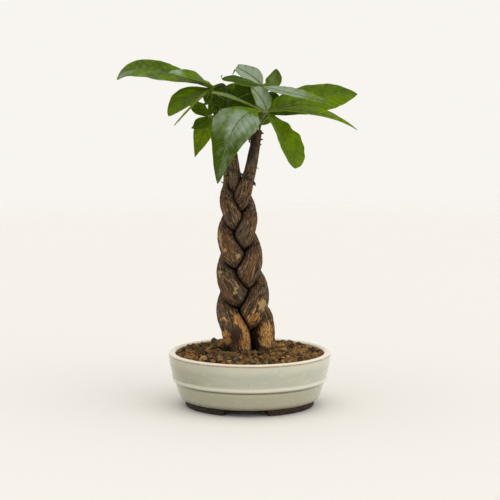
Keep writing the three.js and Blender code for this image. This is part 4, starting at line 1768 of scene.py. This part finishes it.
@dataclass
class Crown:
    """All the leaves."""

    leaves: tuple[Leaf, ...] = LEAVES
    lengthwise: int = 64
    crosswise: int = 16
    thick: float = 0.5
    stalk_half: float = 0.9
    tip_half: float = 0.3
    puff: float = 0.28
    groove: float = 0.35
    rib_radii: tuple[float, float] = (1.05, 0.3)
    rib_rings: int = 25
    stalk_radius: float = 1.25
    stalk_ends: tuple[float, float] = (1.5, 1.45)
    hub_radius: float = 2.2
    twig_radius: float = 0.45
    twig_shade: float = 0.6

    def half_width(self, share: float, shape: Leaflet) -> float:
        """Returns half a leaflet's width at a share of its length."""
        power = math.log(0.5) / math.log(shape.widest)
        fullness = mix(shape.base, shape.point, share)
        swell = max(math.sin(math.pi * share**power), 0.0) ** fullness
        return max(mix(self.stalk_half, self.tip_half, share), shape.width / 2 * swell)

    @staticmethod
    def midrib(root: Vector, shape: Leaflet, share: float) -> tuple[Vector, Vector, Vector]:
        """Finds a point of a leaflet's midrib.

        Args:
            root: Where the leaflet leaves the hub.
            shape: Its sizes.
            share: How far along it the point is, from 0 to 1.

        Returns:
            The point, the direction of the midrib there, and the way the blade faces.
        """
        middle, end = Vector(shape.mid), Vector(shape.tip)
        bend = middle * 2 - root / 2 - end / 2
        rest = 1 - share
        centre = root * rest**2 + bend * 2 * rest * share + end * share**2
        centre.z -= shape.droop * share**8 + shape.curl * smooth(0.9, 1.0, share)
        run = ((bend - root) * rest + (end - bend) * share).normalized()
        up = Vector(shape.face)
        return centre, run, (up - run * up.dot(run)).normalized()

    def rise(self, shape: Leaflet, turn: float, side: float, half: float, wave: float) -> float:
        """Finds how far a point of a blade stands above the midrib.

        Args:
            shape: The leaflet's sizes.
            turn: The count of side veins there.
            side: Where it is across the blade, from -1 to 1.
            half: Half the blade's width there.
            wave: How the edge waves there, from -1 to 1.

        Returns:
            The height, in millimetres.
        """
        away = abs(side)
        swell = math.sin(math.pi * (turn % 1)) ** 2
        rise = self.puff * (swell - 0.5) * smooth(0, 0.15, away) * smooth(1.0, 0.8, away)
        rise *= min(half / 8, 1)
        rise += shape.wave * away**2 * wave * min(half / 8, 1) * 2
        rise += math.sin(math.radians(shape.fold)) * half * away**1.25
        return rise - self.groove * smooth(0.12, 0.0, away)

    def skin(self, shape: Leaflet, share: float, side: float) -> Point:
        """Returns the painted sheen, the gloss and the painted shade at a point of a blade."""
        near, far = smooth(0.1, 0.4, share), smooth(0.45, 0.8, share)
        painted_sheen = mix(mix(shape.painted_sheen[0], shape.painted_sheen[1], near), shape.painted_sheen[2], far)
        painted_sheen *= 1.08 + shape.lean * side - 0.25 * abs(side)
        return (painted_sheen, shape.gloss, mix(*shape.shade, smooth(0.2, 0.8, share)))

    def blade(self, root: Vector, shape: Leaflet, number: int) -> bpy.types.Object:
        """Shapes one leaflet.

        Args:
            root: Where it leaves the hub.
            shape: Its sizes.
            number: Its number, which its small unevenness depends on.

        Returns:
            The leaflet, with its two faces.
        """
        Bench.clear()
        bpy.ops.mesh.primitive_grid_add(
            x_subdivisions=self.lengthwise, y_subdivisions=self.crosswise, size=1
        )
        blade = bpy.context.object
        middle, end = Vector(shape.mid), Vector(shape.tip)
        length = (middle - root).length + (end - middle).length
        spread = math.cos(math.radians(shape.fold))
        points, notes, skin = [], [], []
        for vertex in blade.data.vertices:
            share = min(max(vertex.co.x + 0.5, 0.0), 1.0)
            side = min(max(vertex.co.y * 2, -1.0), 1.0)
            centre, run, up = self.midrib(root, shape, share)
            along = share * length
            edge = Vector((along * 0.13, math.copysign(3, side), number * 5.1))
            half = self.half_width(share, shape) * (1 + shape.scallop * noise.noise(edge))
            wander = 2.2 * noise.noise(centre * 0.06)
            turn = vein_count(along, abs(side) * half, wander)
            wave = noise.noise(Vector((along * 0.07, side * 0.8, number * 7.7)))
            rise = self.rise(shape, turn, side, half, wave)
            points.append(centre + up.cross(run) * (side * half * spread) + up * rise)
            notes.append((along + number * 2, side, half))
            skin.append(self.skin(shape, share, side))
        Bench.mould(blade, points)
        Bench.note(blade, "veins", notes)
        Bench.note(blade, "skin", skin)
        Bench.note(blade, "lines", [(shape.veins, 0, 0)] * len(skin))
        for finish in LEAF_SKINS:
            blade.data.materials.append(bpy.data.materials[finish.name])
        Bench.modify(
            blade, "SOLIDIFY", thickness=self.thick * MM, offset=-1.0, material_offset=1,
            material_offset_rim=1,
        )
        return blade

    def rib(self, root: Vector, shape: Leaflet) -> bpy.types.Object:
        """Makes the midrib that stands out under a leaflet."""
        path, radii = [], []
        for index in range(self.rib_rings):
            share = index / (self.rib_rings + 1)
            centre, _, up = self.midrib(root, shape, share)
            path.append(centre - up * mix(0.4, 0.75, smooth(0, 0.2, share)))
            radii.append(mix(*self.rib_radii, share))
        return self.dress(Bench.tube("rib", path, radii, 8))

    @staticmethod
    def dress(tube: bpy.types.Object) -> bpy.types.Object:
        """Gives a stalk or rib its green skin, in the same slot as on the blades."""
        for finish in LEAF_SKINS:
            tube.data.materials.append(bpy.data.materials[finish.name])
        for face in tube.data.polygons:
            face.material_index = len(LEAF_SKINS) - 1
        return tube

    def stem(self, leaf: Leaf) -> list[bpy.types.Object]:
        """Makes a leaf's stalk, its hub and its twigs."""
        stations = [(*point, self.stalk_radius) for point in leaf.stalk]
        stations[0] = (*leaf.stalk[0], self.stalk_ends[0])
        stations[-1] = (*leaf.stalk[-1], self.stalk_ends[1])
        line = spline(stations, 0.9)
        stalk = Bench.tube("stalk", line, [point.w for point in line], 12)
        Bench.note(stalk, "skin", [(0, 0, leaf.stalk_shade)] * len(stalk.data.vertices))
        Bench.clear()
        bpy.ops.mesh.primitive_uv_sphere_add(
            segments=16, ring_count=10, radius=self.hub_radius * MM, location=at(leaf.stalk[-1])
        )
        hub = bpy.context.object
        bpy.ops.object.transform_apply()
        twigs = [self.twig(path) for path in leaf.twigs]
        return [self.dress(tube) for tube in (stalk, hub, *twigs)]

    def twig(self, path: Sequence[Point]) -> bpy.types.Object:
        """Makes a thin bent twig along a path."""
        bent = spline([(*point, self.twig_radius) for point in path], 0.8)
        twig = Bench.tube("twig", bent, [point.w for point in bent], 8)
        Bench.note(twig, "skin", [(0, 0, self.twig_shade)] * len(twig.data.vertices))
        return twig

    def build(self) -> list[bpy.types.Object]:
        """Builds the leaves and hands them over.

        Returns:
            The leaves.
        """
        for finish in LEAF_SKINS:
            finish.material()
        made, number = [], 0
        for leaf in self.leaves:
            root = Vector(leaf.stalk[-1])
            parts = self.stem(leaf)
            for shape in leaf.leaflets:
                number += 1
                parts += [self.blade(root, shape, number), self.rib(root, shape)]
            whole = Bench.join(f"leaf_{leaf.name}_blades", parts)
            Bench.smoothed(whole, 60)
            Bench.hand_over(whole, Slot.LEAF, [f"leaf_{leaf.name}"])
            made.append(whole)
        return made


# ---------------------------------------------------------------- studio


@dataclass
class Studio:
    """The camera, the pale surface and the soft light."""

    camera_place: Point = (0.3, -1750, 365)
    pitch: float = 6.74
    lens: float = 125.28
    sky: Colour = srgb(248, 245, 240)
    ambient: float = 0.76
    horizon: float = 1.1
    zenith: float = 0.1
    lamp_spread: float = 80.0
    overhead: float = 0.87
    overhead_tilt: Point = (0.05, -0.02, 0.0)
    side: float = 0.95
    side_tilt: Point = (0.45, 1.33, 0.0)
    floor_size: float = 6.0

    def build(self) -> None:
        """Sets up the studio."""
        self.camera()
        self.floor()
        self.light("overhead", self.overhead, self.overhead_tilt)
        self.light("side", self.side, self.side_tilt)
        self.surroundings()
        bpy.context.scene.view_settings.view_transform = "Standard"

    def surroundings(self) -> None:
        """Makes the pale backdrop, which shines most near the horizon in reflections."""
        board = Board("studio", world=True)
        _, _, up = board.parts(board.node("ShaderNodeTexCoord", output="Generated"))
        mirrored = board.node(
            "ShaderNodeMapRange", inputs={0: up, 2: 0.8, 3: self.horizon, 4: self.zenith}
        )
        glossy = board.node("ShaderNodeLightPath", output="Is Glossy Ray")
        seen = board.node("ShaderNodeLightPath", output="Is Camera Ray")
        lit = board.node("ShaderNodeMix", inputs={0: glossy, 2: self.ambient, 3: mirrored})
        strength = board.node("ShaderNodeMix", inputs={0: seen, 2: lit, 3: 1.0})
        backdrop = board.node("ShaderNodeBackground", inputs={0: self.sky, 1: strength})
        board.close(backdrop, "World")
        bpy.context.scene.world = board.owner

    def camera(self) -> None:
        """Places the camera where the photo was taken from."""
        data = bpy.data.cameras.new("camera")
        data.lens = self.lens
        data.sensor_width = 36
        camera = bpy.data.objects.new("camera", data)
        camera.location = at(self.camera_place)
        camera.rotation_euler = (math.radians(90 - self.pitch), 0, 0)
        bpy.context.scene.collection.objects.link(camera)
        bpy.context.scene.camera = camera

    def floor(self) -> None:
        """Lays the pale surface."""
        Bench.clear()
        bpy.ops.mesh.primitive_grid_add(
            x_subdivisions=8, y_subdivisions=8, size=self.floor_size
        )
        floor = bpy.context.object
        floor.name = "floor"
        floor.data.materials.append(Sweep().material())
        floor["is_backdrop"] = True

    def light(self, name: str, strength: float, tilt: Point) -> None:
        """Hangs a soft light, far away.

        Args:
            name: Its name.
            strength: How strong it is, in watts a square metre.
            tilt: Its turn from straight down, in radians.
        """
        data = bpy.data.lights.new(name, "SUN")
        data.energy = strength
        data.angle = math.radians(self.lamp_spread)
        lamp = bpy.data.objects.new(name, data)
        lamp.rotation_euler = tilt
        lamp.visible_glossy = False
        bpy.context.scene.collection.objects.link(lamp)


def note_sizes() -> None:
    """Works out the box of the solids and the box of the dressed model, but keeps neither."""
    boxes = {"cad": CAD_BOX, "visual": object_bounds()}
    plain = {name: [list(corner) for corner in box] for name, box in boxes.items()}


def main() -> None:
    """Builds every piece in order and reports it."""
    logging.basicConfig(level=logging.INFO, format="%(message)s")
    Studio().build()
    trunk = Trunk()
    pieces = [Pot().build(), Drain.dress(), *trunk.build()]
    pieces += [Soil().build(trunk), Tie().build(trunk), *Crown().build()]
    for piece in pieces:
        LOG.info("%s has %d faces", piece.name, len(piece.data.polygons))
    note_sizes()


if __name__ == "__main__":
    main()
